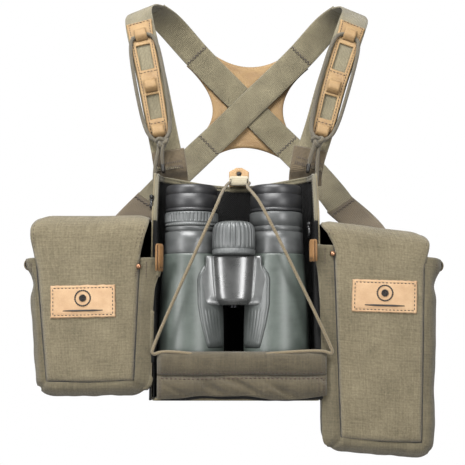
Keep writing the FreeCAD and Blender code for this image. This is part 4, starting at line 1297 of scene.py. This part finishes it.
def cradle_plan(inset, back):
    """Points along the walls and back as (x, y), from the left front edge round to the right one."""
    left, right = WALLS["left"] + inset, WALLS["right"] - inset
    turn = 4.0
    bend = [math.pi / 2 * k / 5 for k in range(1, 6)]
    plan = [(left, y) for y in steps(-62, back - turn, 22)]
    plan += [(left + turn * (1 - math.cos(a)), back - turn + turn * math.sin(a)) for a in bend]
    plan += [(x, back) for x in steps(left + turn, right - turn, 40)[1:-1]]
    plan += [(right - turn * (1 - math.cos(a)), back - turn + turn * math.sin(a)) for a in reversed(bend)]
    plan += [(right, y) for y in steps(back - turn, -62, 22)]
    return plan


def cradle_top(x, y):
    """Height of the cradle's edge at a place in its plan."""
    if y < -10:
        return table(y, WALL_EDGE)
    return rim_height(x)


def cradle_wall(name, inset, back, drop_edge, material):
    """The side walls and back as one sheet, from its edge down to the foot."""
    plan = cradle_plan(inset, back)
    levels, soft = 46, 0.5
    rows = []
    for i in range(levels + 1):
        row = []
        for x, y in plan:
            top = cradle_top(x, y) - drop_edge
            z = lerp(top, CRADLE_BASE + inset * 0.4, i / levels)
            side = -1 if x < 0 else 1
            below = ramp(i, 0, 8)
            give = soft * wobble(y / 16, z / 26, side, seed=13) * ramp(-y, 8, 40) * below
            sway = soft * 0.6 * wobble(x / 18, z / 26, 3, seed=14) * below if y > -10 else 0
            row.append((x + give, y - sway, z))
        rows.append(row)
    return grid(name, rows, material, flip=True)


def fold_over(name, route, material):
    """Binding folded over an edge: route rows are (point, outward, across, width, leg)."""
    rows = []
    for i, (point, out, across, wide, deep) in enumerate(route):
        half = wide / 2
        section = [(-half, -deep), (-half - 0.1, -deep * 0.66), (-half, -deep * 0.33), (-half, -0.4)]
        section += [(-half * math.cos(a), 0.9 * math.sin(a)) for a in half_turn(8)[1:-1]]
        section += [(half, -0.4), (half, -deep * 0.33), (half + 0.1, -deep * 0.66), (half, -deep)]
        pucker = 0.16 * wobble(i / 2.3, 0, 0, seed=15)
        rows.append([Vector(point) + Vector(across) * (a + (pucker if a > 0 else -pucker)) + Vector(out) * b
                     for a, b in section])
    band = grid(name, rows, material)
    return thicken(band, 0.6)


def rim_route():
    """The edge that the binding covers, all round: (point, outward, across, width, leg)."""
    left = [(-64.1, -62.3, z) for z in (-62, -56, -50)]
    right = [(65.1, y, z) for x, y, z in reversed(left)]
    edge = left + [(x, y, cradle_top(x, y)) for x, y in cradle_plan(0.9, -3.2) if y >= -60.5] + right
    fine = [Vector(edge[-1])]
    for a, b in reversed(list(zip(edge, edge[1:]))):
        count = max(round((Vector(b) - Vector(a)).length / 3), 1)
        fine += [Vector(b).lerp(Vector(a), k / count) for k in range(1, count + 1)]
    fine.reverse()
    for _ in range(9):
        fine = [fine[0]] + [(a + b * 2 + c) / 4 for a, b, c in zip(fine, fine[1:], fine[2:])] + [fine[-1]]
    rows = []
    for i, point in enumerate(fine):
        run = (fine[min(i + 1, len(fine) - 1)] - fine[max(i - 1, 0)]).normalized()
        back_share = ramp(point.y, -14, -6)
        inward = Vector((-1 if point.x > 0 else 1, 0, 0)).lerp(Vector((0, -1, 0)), back_share)
        across = (inward - run * inward.dot(run)).normalized()
        out = across.cross(run).normalized()
        if out.z - out.y < 0:
            out = -out
        rows.append((point, out, across, lerp(3.0, 6.4, back_share), lerp(5.0, 4.6, back_share)))
    return rows


def cradle():
    """Canvas walls and back whose front edge is painted black as shade, black lining, floor and the binding
    round the edge, its low runs painted black as shade too.
    """
    shell = cradle_wall("cradle_shell", 0.0, -0.6, 0.0, CANVAS)
    thicken(shell, 1.8)
    # The walls' front-facing edge is painted black: shade in the gap between pouch and barrel.
    repaint(shell, PAINTED_EDGE_SHADE, lambda p, normal: p.y < -56.5 and normal.y < -0.5)
    place(shell, "root", "canvas", "back_panel", "left_cradle_wall", "right_cradle_wall")
    lining = cradle_wall("cradle_mesh", 2.1, -6.4, 1.5, LINING)
    thicken(lining, 0.6)
    place(lining, "root", "black_lining", "cradle_lining")
    # Corner x and y with the angle that its round starts at.
    corners = [(-64.6, -61.5, 180), (65.6, -61.5, 270), (65.6, -1, 0), (-64.6, -1, 90)]
    rows = []
    for z, grow in ((-91.2, -1.0), (-91.4, -0.2), (-90.6, 0.3), (-89.4, 0), (-89.2, -0.8)):
        ring = []
        for x, y, first in corners:
            x0, y0 = x - math.copysign(4, x), y + (4 if y < -30 else -4)
            for step in range(6):
                angle = math.radians(first + 18 * step)
                ring.append((x0 + (4 + grow) * math.cos(angle), y0 + (4 + grow) * math.sin(angle), z))
        rows.append(ring)
    floor = face_out(grid("cradle_base_cloth", rows, CANVAS, closed=True, cap=True))
    place(floor, "root", "canvas", "cradle_floor")

    route = rim_route()
    binding = fold_over("rim_tape", route, BINDING)
    # The binding below 50 mm is painted black: shade behind the pouches' inner walls.
    repaint(binding, PAINTED_EDGE_SHADE, lambda p, normal: p.z < 50)
    place(binding, "root", "binding", "left_rim_binding", "right_rim_binding")
    rows = Thread()
    for share in (0.2, 0.82):
        for facing in (1, -1):
            line = [(point + across * (facing * (wide / 2 + 0.12)) - out * (deep * share), across * facing)
                    for point, out, across, wide, deep in route if point.z > 52]
            rows.row(line, pitch=2.8, thick=0.45, fill=0.62, lift=0.05)
    place(rows.make("rim_stitches", THREAD_OLIVE), "root", "binding")


CUFF_LEFT = -60.5
CUFF_RIGHT = 71.0


def cuff_seam(x):
    """Height of the seam along the cuff's roll."""
    return -71.5 + 0.7 * wobble(x / 24, 1, 0, seed=16)


def cuff_section(x):
    """The padded band at x, as (y, z) from its upper back edge over the front to its lower back edge."""
    end = ramp(min(x - CUFF_LEFT, CUFF_RIGHT - x), 0, 5)
    seam = cuff_seam(x)
    hem = -88.4 + 1.6 * wobble(x / 20, 2, 0, seed=17) + 1.3 * math.cos((x + 12) / 15)
    sag = 2.0 * wobble(x / 17, 3, 0, seed=18)
    gather = 0.9 * wobble(x / 3.4, 4, 0, seed=19)
    roll = 6.4 * lerp(0.62, 1, end) + 0.6 * sag + 1.5 * wobble(x / 7, 9, 0, seed=26)
    top = -53.2
    middle, tall = (top + seam) / 2, (top - seam) / 2
    points = [(-64.3, top)]
    for k in range(1, 15):
        angle = math.pi * (0.5 - k / 14 * 0.93)
        y = -64.3 - roll * math.cos(angle) ** 0.8 if k < 14 else -66.3
        points.append((y, middle + tall * math.sin(angle)))
    points += [(-65.6 + gather * 0.4, seam + 0.5), (-65.2 + gather * 0.4, seam), (-66.4 + gather, seam - 0.8)]
    bulge = 4.2 * lerp(0.6, 1, end) + sag
    for k in range(1, 12):
        share = k / 12
        z = lerp(seam - 0.8, hem + 0.8, share)
        crease = 6.0 * max(wobble((x + 1.5 * z) / 12, z / 26, 5, seed=25), 0) * math.sin(math.pi * share)
        y = -66.4 - max(bulge, 1.2) * math.sin(math.pi * share) ** 0.7 + gather * (1 - share) * 0.8 + crease
        points.append((max(y, -72.0), z))
    points += [(-67.0, hem + 0.5), (-66.6, hem), (-65.6, hem - 0.2), (-64.8, hem + 0.4)]
    points += [(-64.2, lerp(hem + 1.5, top - 1.5, k / 10)) for k in range(11)]
    return points


def cuff():
    """The padded front band with its roll, its black inner cloth and its rows of stitches."""
    count = 96
    rows = []
    for i, x in enumerate(steps(CUFF_LEFT, CUFF_RIGHT, count)):
        close = 0.35 * (1 - ramp(min(i, count - i), 0, 2))
        section = cuff_section(x)
        rows.append([(x, lerp(y, -66.2, close), lerp(z, -72, close * 0.12)) for y, z in section])
    # The band's darker canvas is painted shade.
    band = face_out(grid("cuff_band", rows, CANVAS_CUFF_PAINTED_SHADE, closed=True, cap=True))
    place(band, "cuff", "canvas", "front_cuff")
    liner_rows = []
    for x in steps(CUFF_LEFT + 3, CUFF_RIGHT - 3, 60):
        hem = -90.4 + 0.9 * wobble(x / 16, 2, 0, seed=20) + 0.8 * math.cos((x + 12) / 15)
        liner_rows.append([(x, -64.0 - 0.8 * (k == 0), lerp(hem, -56, k / 8)) for k in range(9)])
    liner = grid("cuff_inner_cloth", liner_rows, LINING)
    thicken(liner, 0.7)
    place(liner, "cuff", "black_lining", "cuff_lining")

    rows = Thread()
    seam_line = [(x, cuff_seam(x) - 2.4) for x in steps(CUFF_LEFT + 2.5, CUFF_RIGHT - 2.5, 44)]
    rows.row(dropped(band, seam_line), pitch=3.4, thick=1.1, fill=0.6)
    rows.row(dropped(band, [(x, z + 4.4) for x, z in seam_line]), pitch=3.4, thick=0.9, fill=0.5)
    for x in (CUFF_RIGHT - 2.6, CUFF_RIGHT - 6.4, CUFF_LEFT + 2.6):
        rows.row(dropped(band, [(x, -74), (x, -89)]), pitch=2.6, thick=0.6, fill=0.66)
    place(rows.make("cuff_stitches", THREAD_BROWN), "cuff", "canvas")
    hem_row = Thread()
    hem_line = [(x, -86.4) for x in (CUFF_LEFT + 4, 0, CUFF_RIGHT - 8)]
    hem_row.row(dropped(band, hem_line), pitch=2.8, thick=0.4)
    place(hem_row.make("cuff_hem_stitches", THREAD_OLIVE), "cuff", "canvas")


RETAINER_ROUTE = [
    (-33, -67.4, -55.0), (-46, -67.9, -53.4), (-58, -68, -53.4), (-63.6, -68.4, -56.0), (-64.6, -68.3, -50.6),
    (-14.4, -71, 60), (-11.4, -53, 71), (-8.2, -32, 79.5), (-5.4, -12.2, 86), (-3, -10.8, 87),
    (10.2, -10.8, 87), (12.8, -12.2, 86), (9.4, -33, 80.2), (13.2, -54, 73.6), (21.8, -71, 60),
    (75.4, -68.6, -50.6), (75.0, -68.8, -55.4), (69, -68, -52.6), (52, -67.9, -52.8), (24, -67.4, -55),
]
# The middle of the pull tab's hole as (x, z), and its straight edges as (normal x, normal z, distance).
TAB_HOLE = (3.5, 94)
TAB_EDGES = [(1, 0, 8.4), (-1, 0, 8.4), (0, -1, 11.0), (0.5, 0.866, 5.9), (-0.5, 0.866, 5.9), (0, 1, 5.4)]


def tab_reach(angle):
    """Distance from the tab's hole to its edge: straight sides and foot, and a blunt peak."""
    c, s = math.cos(angle), math.sin(angle)
    best = 30.0
    for nx, nz, far in TAB_EDGES:
        facing = c * nx + s * nz
        if facing > 1e-6:
            best = min(best, far / facing)
    return best


def retainer():
    """The retaining cord with its leather pull tab and the cream tape that holds them together."""
    line = tube("retainer_cord_braid", spline_points(RETAINER_ROUTE, 16), 2.6, CORD)
    place(line, "retainer", "cord", "retainer_cord")
    hole_x, hole_z = TAB_HOLE
    rings = []
    for share in steps(0, 1, 8):
        roll = 0.5 * (ramp(share, 0.8, 1) + 1 - ramp(share, 0, 0.15))
        ring = []
        for angle in circle(64):
            radius = lerp(2.0, tab_reach(angle), share)
            ring.append((hole_x + radius * math.cos(angle), -8.8 + roll, hole_z + radius * math.sin(angle)))
        rings.append(ring)
    tab = grid("pull_tab_leather", rings, TAB_LEATHER, LEATHER_EDGE, closed=True, flip=True)
    thicken(tab, 1.5, inner=1)
    place(tab, "retainer", "leather", "pull_tab")
    hole = [upright_disc(*TAB_HOLE, radius, y)
            for radius, y in ((2.05, -8.4), (1.3, -8.3), (0.1, -8.25), (0.1, -7.4), (2.05, -7.4))]
    dark = face_out(grid("pull_tab_hole", hole, INK, closed=True, cap=True))
    place(dark, "retainer", "leather")
    rows = []
    for i, x in enumerate(steps(-4.7, 11.7, 24)):
        plump = 0.35 * wobble(x / 4, 0, 0, seed=21)
        tight = 1 - 0.35 * (1 - ramp(min(i, 24 - i), 0, 2))
        rows.append([(x, -11.1 + (2.2 + plump) * tight * math.cos(a) * (1 if abs(math.cos(a)) < 0.9 else 0.96),
                      87.7 + 4.3 * tight * math.copysign(abs(math.sin(a)) ** 0.6, math.sin(a)))
                     for a in circle(24)])
    band = face_out(grid("tab_tape", rows, CREAM, closed=True, cap=True))
    place(band, "retainer", "leather", "tab_band")
    tacks = Thread()
    for x in (-3.4, 10.4):
        ends = [((x, -13.3, z), (0, -1, 0)) for z in (85.4, 89.4)]
        tacks.row(ends, pitch=1.3, thick=0.9, fill=0.9)
    place(tacks.make("tab_tacks", INK), "retainer", "leather")


# ------------------------------------------------------------------ harness

# A strap's route as (centre, width direction), from the pack's rim up, or from the top of the cross down.
LEFT_SHOULDER = [
    ((-55.5, -7.2, 98), (1, 0, 0.18)), ((-57.5, -7.0, 110), (1, 0, 0.2)),
    ((-63, -5.0, 137), (1, 0, 0.2)), ((-71, -0.5, 176), (1, 0, 0.2)),
    ((-79.5, 6.5, 212), (1, 0, 0.22)), ((-84, 15, 232), (1, -0.1, 0.25)),
    ((-85, 24, 243.5), (1, -0.3, 0.28)), ((-81, 36, 250.5), (0.9, -0.5, 0.2)),
    ((-73, 46, 251.5), (0.85, -0.5, 0.2)),
]
UNDER_CROSS = [
    ((-73, 46, 251.5), (0.85, -0.5, 0.2)), ((-58, 58, 240), (0.8, -0.2, 0.5)),
    ((-36, 67.5, 217), (0.72, 0, 0.7)), ((-12, 70.9, 192.5), (0.72, 0, 0.7)),
    ((12.5, 71.6, 168), (0.72, 0, 0.7)), ((34, 71.0, 146), (0.72, 0, 0.7)),
    ((50, 67.5, 129.5), (0.72, 0, 0.7)), ((68, 58, 109), (0.74, 0, 0.66)),
    ((85, 42, 86), (0.78, 0.1, 0.6)), ((94, 30, 71), (0.8, 0.1, 0.55)),
]
RIGHT_SHOULDER = [
    ((61.5, -7.2, 100), (1, 0, -0.22)), ((65, -7.0, 112), (1, 0, -0.26)),
    ((73, -5.0, 137), (1, 0, -0.3)), ((84, -0.5, 175), (1, 0, -0.32)),
    ((97, 6.5, 212), (1, 0, -0.34)), ((103.5, 15, 230), (1, 0.1, -0.34)),
    ((107, 24, 241), (1, 0.3, -0.3)), ((105, 36, 248.5), (0.9, 0.5, -0.2)),
    ((98, 46, 250), (0.85, 0.5, -0.2)),
]
OVER_CROSS = [
    ((98, 46, 250), (0.85, 0.5, -0.2)), ((83, 57, 238), (0.8, 0.2, -0.5)),
    ((62, 65.5, 216), (0.72, 0, -0.7)), ((38, 69.0, 192.5), (0.72, 0, -0.7)),
    ((12.5, 69.7, 168), (0.72, 0, -0.7)), ((-9, 69.1, 146.5), (0.72, 0, -0.7)),
    ((-26, 66, 130), (0.72, 0, -0.7)), ((-44, 57, 111), (0.74, 0, -0.66)),
    ((-63, 42, 90), (0.78, -0.1, -0.6)), ((-76, 30, 74), (0.8, -0.1, -0.55)),
]
SIDE_ELASTICS = {
    "left": [((-76.6, 29.4, 73.3), (0.8, -0.1, -0.55)), ((-90, 12, 56), (0.82, -0.1, -0.5)),
             ((-99, -4, 42), (0.9, -0.1, -0.35)), ((-103, -11.5, 28), (1, 0, -0.1))],
    "right": [((94.6, 29.4, 70.3), (0.8, 0.1, 0.55)), ((108, 12, 55), (0.82, 0.1, 0.5)),
              ((116, -4, 42), (0.9, 0.1, 0.35)), ((119, -11.5, 28), (1, 0, 0.1))],
}
BASE_ELASTICS = {
    "left": [((-49.5, -2.9, 85), (1, 0, 0)), ((-49.5, -4.8, 92.5), (1, 0, 0)), ((-50, -9.4, 98), (1, 0, 0)),
             ((-51, -10.3, 105), (1, 0, 0.04)), ((-52.5, -10.0, 114.5), (1, 0, 0.1))],
    "right": [((56, -2.9, 85), (1, 0, 0)), ((56, -4.8, 92.5), (1, 0, 0)), ((56.5, -9.4, 98), (1, 0, -0.02)),
              ((58, -10.3, 106), (1, 0, -0.08)), ((60, -10.0, 116.5), (1, 0, -0.12))],
}
SHOULDERS = {"left": LEFT_SHOULDER, "right": RIGHT_SHOULDER}
TETHER_ROOTS = {"left": -67.4, "right": 68.6}
# Width and thickness of the webbing.
WEB = 25.4
WEB_THICK = 1.7
# The base elastics' visible webs stand this far out and back from the table, clear of the lifted barrels.
BASE_OUT = {"left": -4.5, "right": 4.0}
BASE_BACK = 2.9


def on_strap(sections, share, across=0.0, out=0.0):
    """A point on a strap, its width direction, and the direction out of its front face."""
    centre, wide, face, run = strap_at(sections, share)
    if face.y > 0:
        face = -face
    return centre + wide * across + face * out, wide, face, run


def strap_tacks(thread, sections, share, zigzag, width=WEB, out=1.0):
    """A row of dark stitches across a strap; zigzag makes them slant to and fro."""
    for i, across in enumerate(steps(-width / 2 + 1.6, width / 2 - 1.6, 14)):
        point, wide, face, run = on_strap(sections, share, across, out)
        lean = 1.5 if zigzag else 0.9
        slant = 0.85 * (1 if i % 2 else -1) if zigzag else 0
        thread.stitch(point - run * lean - wide * slant, point + run * lean + wide * slant, face, thick=0.7)


# The ladder strips' ends, loops and windows as shares of the strap, and their width at both ends.
LADDER_LOW, LADDER_HIGH = 0.205, 0.616
LADDER_WIDTHS = (17, 23)
# How far the strips' front and the loops' front stand off the strap's middle.
LADDER_LIFT = WEB_THICK / 2 + 1.95
LOOP_RISE = 5.6
RUNG_SHARES = [0.228, 0.36, 0.526]
WINDOWS = [(0.270, 0.334), (0.408, 0.484)]


def ladder_shift(share, sign):
    """The strip's offset from the strap's middle."""
    return sign * 3.2 * (LADDER_HIGH - share) / (LADDER_HIGH - LADDER_LOW)


def ladder(side):
    """Leather frame stitched to the strap, with two windows, and three raised loops."""
    sections, sign = SHOULDERS[side], SIDES[side]
    count, columns = 110, 24
    shares = steps(LADDER_LOW, LADDER_HIGH, count)
    rows = []
    for i, share in enumerate(shares):
        half = lerp(*LADDER_WIDTHS, i / count) / 2
        row = []
        for j in range(columns + 1):
            a = lerp(-half, half, j / columns)
            edge = min(half - abs(a), (i + 0.2) * 0.8, (count - i + 0.2) * 0.8)
            worn = 0.35 * wobble(i / 9, j / 5, 0, seed=22 + sign)
            rise = LADDER_LIFT - 0.55 * (1 - ramp(edge, 0, 1.3))
            rise += worn * 0.4 - 0.3 * math.exp(-((edge - 2.3) / 0.6) ** 2)
            ragged = 0.35 * wobble(i / 6, j * 9.0, 0, seed=23) if j in (0, columns) else 0
            row.append(on_strap(sections, share, ladder_shift(share, sign) + a + ragged, rise)[0])
        rows.append(row)
    strip = grid(side + "_ladder_frame", rows, LEATHER, LEATHER_EDGE)
    with editing(strip) as work:
        work.faces.ensure_lookup_table()
        gone = []
        for i in range(count):
            share = (shares[i] + shares[i + 1]) / 2
            for j in range(columns):
                across = abs(j + 0.5 - columns / 2) / (columns / 2)
                if across < 0.62 and any(a < share < b for a, b in WINDOWS):
                    gone.append(work.faces[i * columns + j])
        bmesh.ops.delete(work, geom=gone, context="FACES")
    outward = on_strap(sections, 0.4)[2]
    look(strip, len(strip.data.polygons) // 2, outward)
    thicken(strip, 1.8, inner=1)
    place(strip, "root", "leather", side + "_ladder_strip")

    loops = []
    for share in RUNG_SHARES:
        rows = []
        for t in steps(-1, 1, 18):
            out = LADDER_LIFT + LOOP_RISE * (1 - abs(t) ** 3.2)
            row = []
            for a in steps(-5.2, 5.2, 8):
                across = ladder_shift(share, sign) + a
                curl = 0.35 * (1 - ramp(5.2 - abs(a), 0, 1.2))
                point, wide, face, run = on_strap(sections, share, across, out - curl)
                row.append(point + run * (t * 6.3))
            rows.append(row)
        loops.append(grid("rung", rows, LEATHER))
    band = join(side + "_ladder_rungs", loops)
    look(band, 70, outward)
    band.data.materials.append(LEATHER_EDGE)
    thicken(band, 1.5, inner=1)
    place(band, "root", "leather", side + "_ladder_loops")

    def on_strip(share, across):
        """A stitch's place on the strip and the direction out of it."""
        point, wide, face, run = on_strap(sections, share, ladder_shift(share, sign) + across, LADDER_LIFT)
        return point, face

    seams = Thread()
    for edge in (-1, 1):
        line = [on_strip(share, edge * (lerp(*LADDER_WIDTHS, i / 49) / 2 - 2.3))
                for i, share in enumerate(steps(LADDER_LOW + 0.008, LADDER_HIGH - 0.008, 49))]
        seams.row(line, pitch=2.7, thick=0.65)
    for share in (0.256, 0.400, 0.604):
        part = (share - LADDER_LOW) / (LADDER_HIGH - LADDER_LOW)
        half = lerp(*LADDER_WIDTHS, part) / 2 - 2.4
        seams.row([on_strip(share, across) for across in steps(-half, half, 6)], pitch=2.6, thick=0.7)
    place(seams.make(side + "_ladder_stitches", THREAD_BROWN), "root", "leather")


def tether_route(side):
    """The tether's route: up from the rim, through the top loop's foot, down and into the knot; and the
    knot's middle. Places beside the strap are (share of it, across, out)."""
    sections, sign = SHOULDERS[side], SIDES[side]
    root = TETHER_ROOTS[side]
    lift, base = 5.35, 8.0
    beside = [(0.17, 2.6, base), (0.2, 11.4, lift + 1.6), (0.26, 14.2, lift), (0.33, 14.8, lift),
              (0.41, 14.2, lift), (0.48, 12.4, lift), (0.523, 8.6, lift), (0.523, -8.0, lift),
              (0.48, -11.6, lift), (0.41, -11.6, lift), (0.33, -10.6, lift), (0.26, -8.8, lift),
              (0.2, -6.2, lift + 1.6), (0.172, 0.4, base + 3.2)]
    route = [(root, -13.5, 84), (root + 0.4 * sign, -15, 100)]
    route += [tuple(route_spot(sections, share, sign * across, out)) for share, across, out in beside]
    route += [(root - 6.0 * sign, -17, 106), (root - 7.6 * sign, -14, 94)]
    return route, route_spot(sections, 0.17, sign * 1.6, base + 1.6)


def route_spot(sections, share, across, out):
    """A point beside a strap, with straight runs between its sections."""
    spot = share * (len(sections) - 1)
    i = min(int(spot), len(sections) - 2)
    part = spot - i
    (here, wide_here), (there, wide_there) = sections[i], sections[i + 1]
    centre = Vector(here).lerp(Vector(there), part)
    wide = Vector(wide_here).lerp(Vector(wide_there), part)
    tangent = (Vector(there) - Vector(here)).normalized()
    wide = (wide - tangent * wide.dot(tangent)).normalized()
    front = tangent.cross(wide)
    if front.y > 0:
        front = -front
    return centre + wide * across + front * out


def tether(side):
    """A doubled cord over the ladder with an overhand knot and a melted tip."""
    route, heart = tether_route(side)
    fine = spline_points(route, 12)
    line = tube(side + "_tether_braid", fine, 3.2, DARK_CORD)
    place(line, "root", "cord", side + "_tether_cord")
    knot = [heart + Vector(((math.sin(t) + 2 * math.sin(2 * t)) * 1.45, -math.sin(3 * t) * 1.7,
                            (math.cos(t) - 2 * math.cos(2 * t)) * 1.25)) for t in circle(96)]
    knot.append(knot[0].copy())
    ball = tube(side + "_tether_knot_braid", knot, 3.6, DARK_CORD)
    place(ball, "root", "cord", side + "_tether_knot")
    tip = tube(side + "_tether_tip", fine[-6:], 3.5, TIP)
    place(tip, "root", "cord")


def patch():
    """Leather cross behind the crossing, with hollow sides between its four arms."""
    arms = [((-45, 208), (-26.5, 224)), ((53, 221.5), (69, 205)),
            ((57.5, 136), (41, 121.5)), ((-16.5, 124), (-33, 141))]
    hollows = [(13.5, 207), (45.5, 171), (11, 130.5), (-21, 171)]
    outline = []
    for i, (first, last) in enumerate(arms):
        outline += [(lerp(first[0], last[0], t), lerp(first[1], last[1], t)) for t in (0, 0.2, 0.4, 0.6, 0.8)]
        start, mid, end = Vector(last), Vector(hollows[i]), Vector(arms[(i + 1) % 4][0])
        pull = mid * 2 - (start + end) / 2
        outline += [tuple(start * (1 - t) ** 2 + pull * (2 * t * (1 - t)) + end * t * t)
                    for t in (k / 22 for k in range(22))]
    heart = Vector((12.5, 170))
    rings = []
    for share in steps(0.02, 1, 15):
        flat = [(lerp(heart.x, x, share), lerp(heart.y, z, share)) for x, z in outline]
        rings.append([(x, 73.4 + 0.5 * wobble(x / 30, z / 30, 0, seed=24) + 0.4 * ramp(share, 0.97, 1), z)
                      for x, z in flat])
    sheet = grid("patch_leather", rings, LEATHER, LEATHER_EDGE, closed=True)
    with editing(sheet) as work:
        work.verts.ensure_lookup_table()
        work.faces.new([work.verts[k] for k in range(len(outline))])
        work.normal_update()
    sheet.data.polygons.foreach_set("use_smooth", [True] * len(sheet.data.polygons))
    look(sheet, len(outline) * 7, Vector((0, -1, 0)))
    thicken(sheet, 1.8)
    place(sheet, "root", "leather", "back_patch")


def mount_webbing(side):
    """Two level tapes from the cradle's side to the back of the pouch."""
    parts = []
    for z in (26.7, -39.3):
        sections = [((WALLS[side] + SIDES[side] * reach, -14.1, z), (0, 0, 1)) for reach in (0, 30, 60, 88)]
        parts.append(strap("mount", sections, WEB, WEB_THICK, WEBBING, step=4))
    place(join(side + "_mount_tape", parts), "root", "webbing", side + "_mount_webbing")


def cradle_hook(side):
    """Swivel hook: an eye that the body's loop runs through, a barrel and a gated nose."""
    low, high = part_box(side + "_cradle_hook")
    x, y, z = (low + high) / (2 * MM)
    tall, deep = (high.z - low.z) / MM, (high.y - low.y) / MM
    nose = [Vector((x, y + (deep / 2 - 1.1) * math.cos(a), z - tall * 0.16 + tall * 0.30 * math.sin(a)))
            for a in circle(32, closed=True)]
    eye = [Vector((x, y + (deep / 2 - 1.6) * math.cos(a), z + tall * 0.36 + tall * 0.12 * math.sin(a)))
           for a in circle(24, closed=True)]
    body = [(0.2, 4.2), (1.5, 4.2), (1.9, 3.9), (1.9, 2.4), (1.5, 2.0), (1.5, 1.2), (1.9, 0.9), (1.9, 0.1),
            (0.2, 0.1)]
    swivel = lathe("swivel", [(r, z + tall * 0.12 + h) for r, h in body], (x, y), HOOK, segments=32)
    parts = [tube("nose", nose, 2.2, HOOK), tube("eye", eye, 1.7, HOOK), swivel]
    piece = join(side + "_hook_piece", parts)
    place(piece, "root", "hook_plastic", side + "_cradle_hook")


def lengthened(sections, extra):
    """The sections with one more before the first, so that the band reaches under its neighbour."""
    (start, across), (following, _) = sections[:2]
    run = (Vector(start) - Vector(following)).normalized()
    return [(tuple(Vector(start) + run * extra), across)] + list(sections)


def harness():
    """Shoulder straps, cross, elastics, ladders, tethers, mount tapes and hooks, with the straps' tacks."""
    for name, sections in {"left_shoulder_strap": LEFT_SHOULDER, "right_shoulder_strap": RIGHT_SHOULDER,
                           "cross_strap_under": UNDER_CROSS, "cross_strap_over": OVER_CROSS}.items():
        web = strap(name + "_web", sections, WEB, WEB_THICK, WEBBING, step=2.5)
        place(web, "root", "webbing", name)
    patch()
    for side in SIDES:
        sections = lengthened(SIDE_ELASTICS[side], 5)
        band = strap(side + "_side_elastic_web", sections, WEB + 1, 2.2, ELASTIC, step=2.5)
        place(band, "root", "brown_elastic", side + "_side_elastic")
        moved = [((x + BASE_OUT[side], y + BASE_BACK, z), across)
                 for (x, y, z), across in BASE_ELASTICS[side]]
        base = strap(side + "_base_elastic_web", moved, 28, 1.8, ELASTIC, step=1.5)
        place(base, "root", "brown_elastic", side + "_base_elastic")
        ladder(side)
        tether(side)
        mount_webbing(side)
        cradle_hook(side)
    tacks = Thread()
    for sections in (UNDER_CROSS, OVER_CROSS):
        for share in (0.225, 0.655):
            strap_tacks(tacks, sections, share, True)
    for side in SIDES:
        for share in (0.008, 0.03, 0.075):
            strap_tacks(tacks, SHOULDERS[side], share, False)
        strap_tacks(tacks, SIDE_ELASTICS[side], 0.05, True, width=26, out=1.3)
    place(tacks.make("strap_tacks", THREAD_GREY), "root", "webbing")


# ------------------------------------------------------------------ stage

def floor():
    """Pale round floor well below the pack."""
    rows = [[(radius * math.cos(a), radius * math.sin(a), -620) for a in circle(72)]
            for radius in (0.1, 400, 900, 1500, 2100, 2500)]
    s = Surface("floor_paper", {"Specular IOR Level": 0.1})
    grain = s.noise(40, 2)
    colour = s.mix(grain, srgb(246, 246, 246), srgb(250, 250, 250))
    paper = s.finish(colour, s.span(grain, 0, 1, 0.85, 0.95))
    grid("floor", rows, paper, closed=True)


def light(name, place_at, target, size, power):
    """A rectangular lamp turned towards a target; places and size in metres, power in watts."""
    data = bpy.data.lights.new(name, "AREA")
    data.shape = "RECTANGLE"
    data.size, data.size_y = size
    data.energy = power
    lamp = bpy.data.objects.new(name, data)
    lamp.location = place_at
    lamp.rotation_euler = (Vector(target) - Vector(place_at)).to_track_quat("-Z", "Y").to_euler()
    bpy.context.scene.collection.objects.link(lamp)


# Light from all round, as a share of the bright backdrop straight behind the object.
ROOM_LIGHT = 0.24
# The camera's place in metres, its tilt from straight down in degrees, and its lens and sensor in millimetres.
CAMERA = (-0.002, -0.85696, -0.02972)
TILT = 95
LENS, SENSOR = 78.4, 36


def studio():
    """World light that is brightest behind the object, three lamps and the camera."""
    scene = bpy.context.scene
    scene.view_settings.view_transform = "Standard"
    world = bpy.data.worlds.new("studio")
    scene.world = world
    world.use_nodes = True
    nodes, links = world.node_tree.nodes, world.node_tree.links
    direction = nodes.new("ShaderNodeSeparateXYZ")
    links.new(nodes.new("ShaderNodeTexCoord").outputs["Generated"], direction.inputs[0])
    spread = nodes.new("ShaderNodeMapRange")
    spread.interpolation_type = "SMOOTHSTEP"
    for socket, value in {1: 0.70, 2: 0.93, 3: ROOM_LIGHT, 4: 1.0}.items():
        spread.inputs[socket].default_value = value
    links.new(direction.outputs[1], spread.inputs[0])
    links.new(spread.outputs[0], nodes["Background"].inputs["Strength"])
    nodes["Background"].inputs["Color"].default_value = (1, 1, 1, 1)
    light("key", (-0.2, -0.6, 0.8), (0, -0.05, 0.0), (0.75, 0.4), 25)
    light("left_strip", (-0.95, -1.0, 0.1), (0, -0.03, 0.03), (0.4, 1.1), 18)
    light("right_strip", (0.62, -1.25, 0.1), (0, -0.03, 0.03), (0.34, 1.1), 18)
    data = bpy.data.cameras.new("camera")
    data.lens = LENS
    data.sensor_width = SENSOR
    data.clip_start = 0.05
    camera = bpy.data.objects.new("camera", data)
    camera.location = CAMERA
    camera.rotation_euler = (math.radians(TILT), 0, 0)
    scene.collection.objects.link(camera)
    scene.camera = camera


studio()
floor()
binocular()
pouches()
cradle()
cuff()
retainer()
harness()
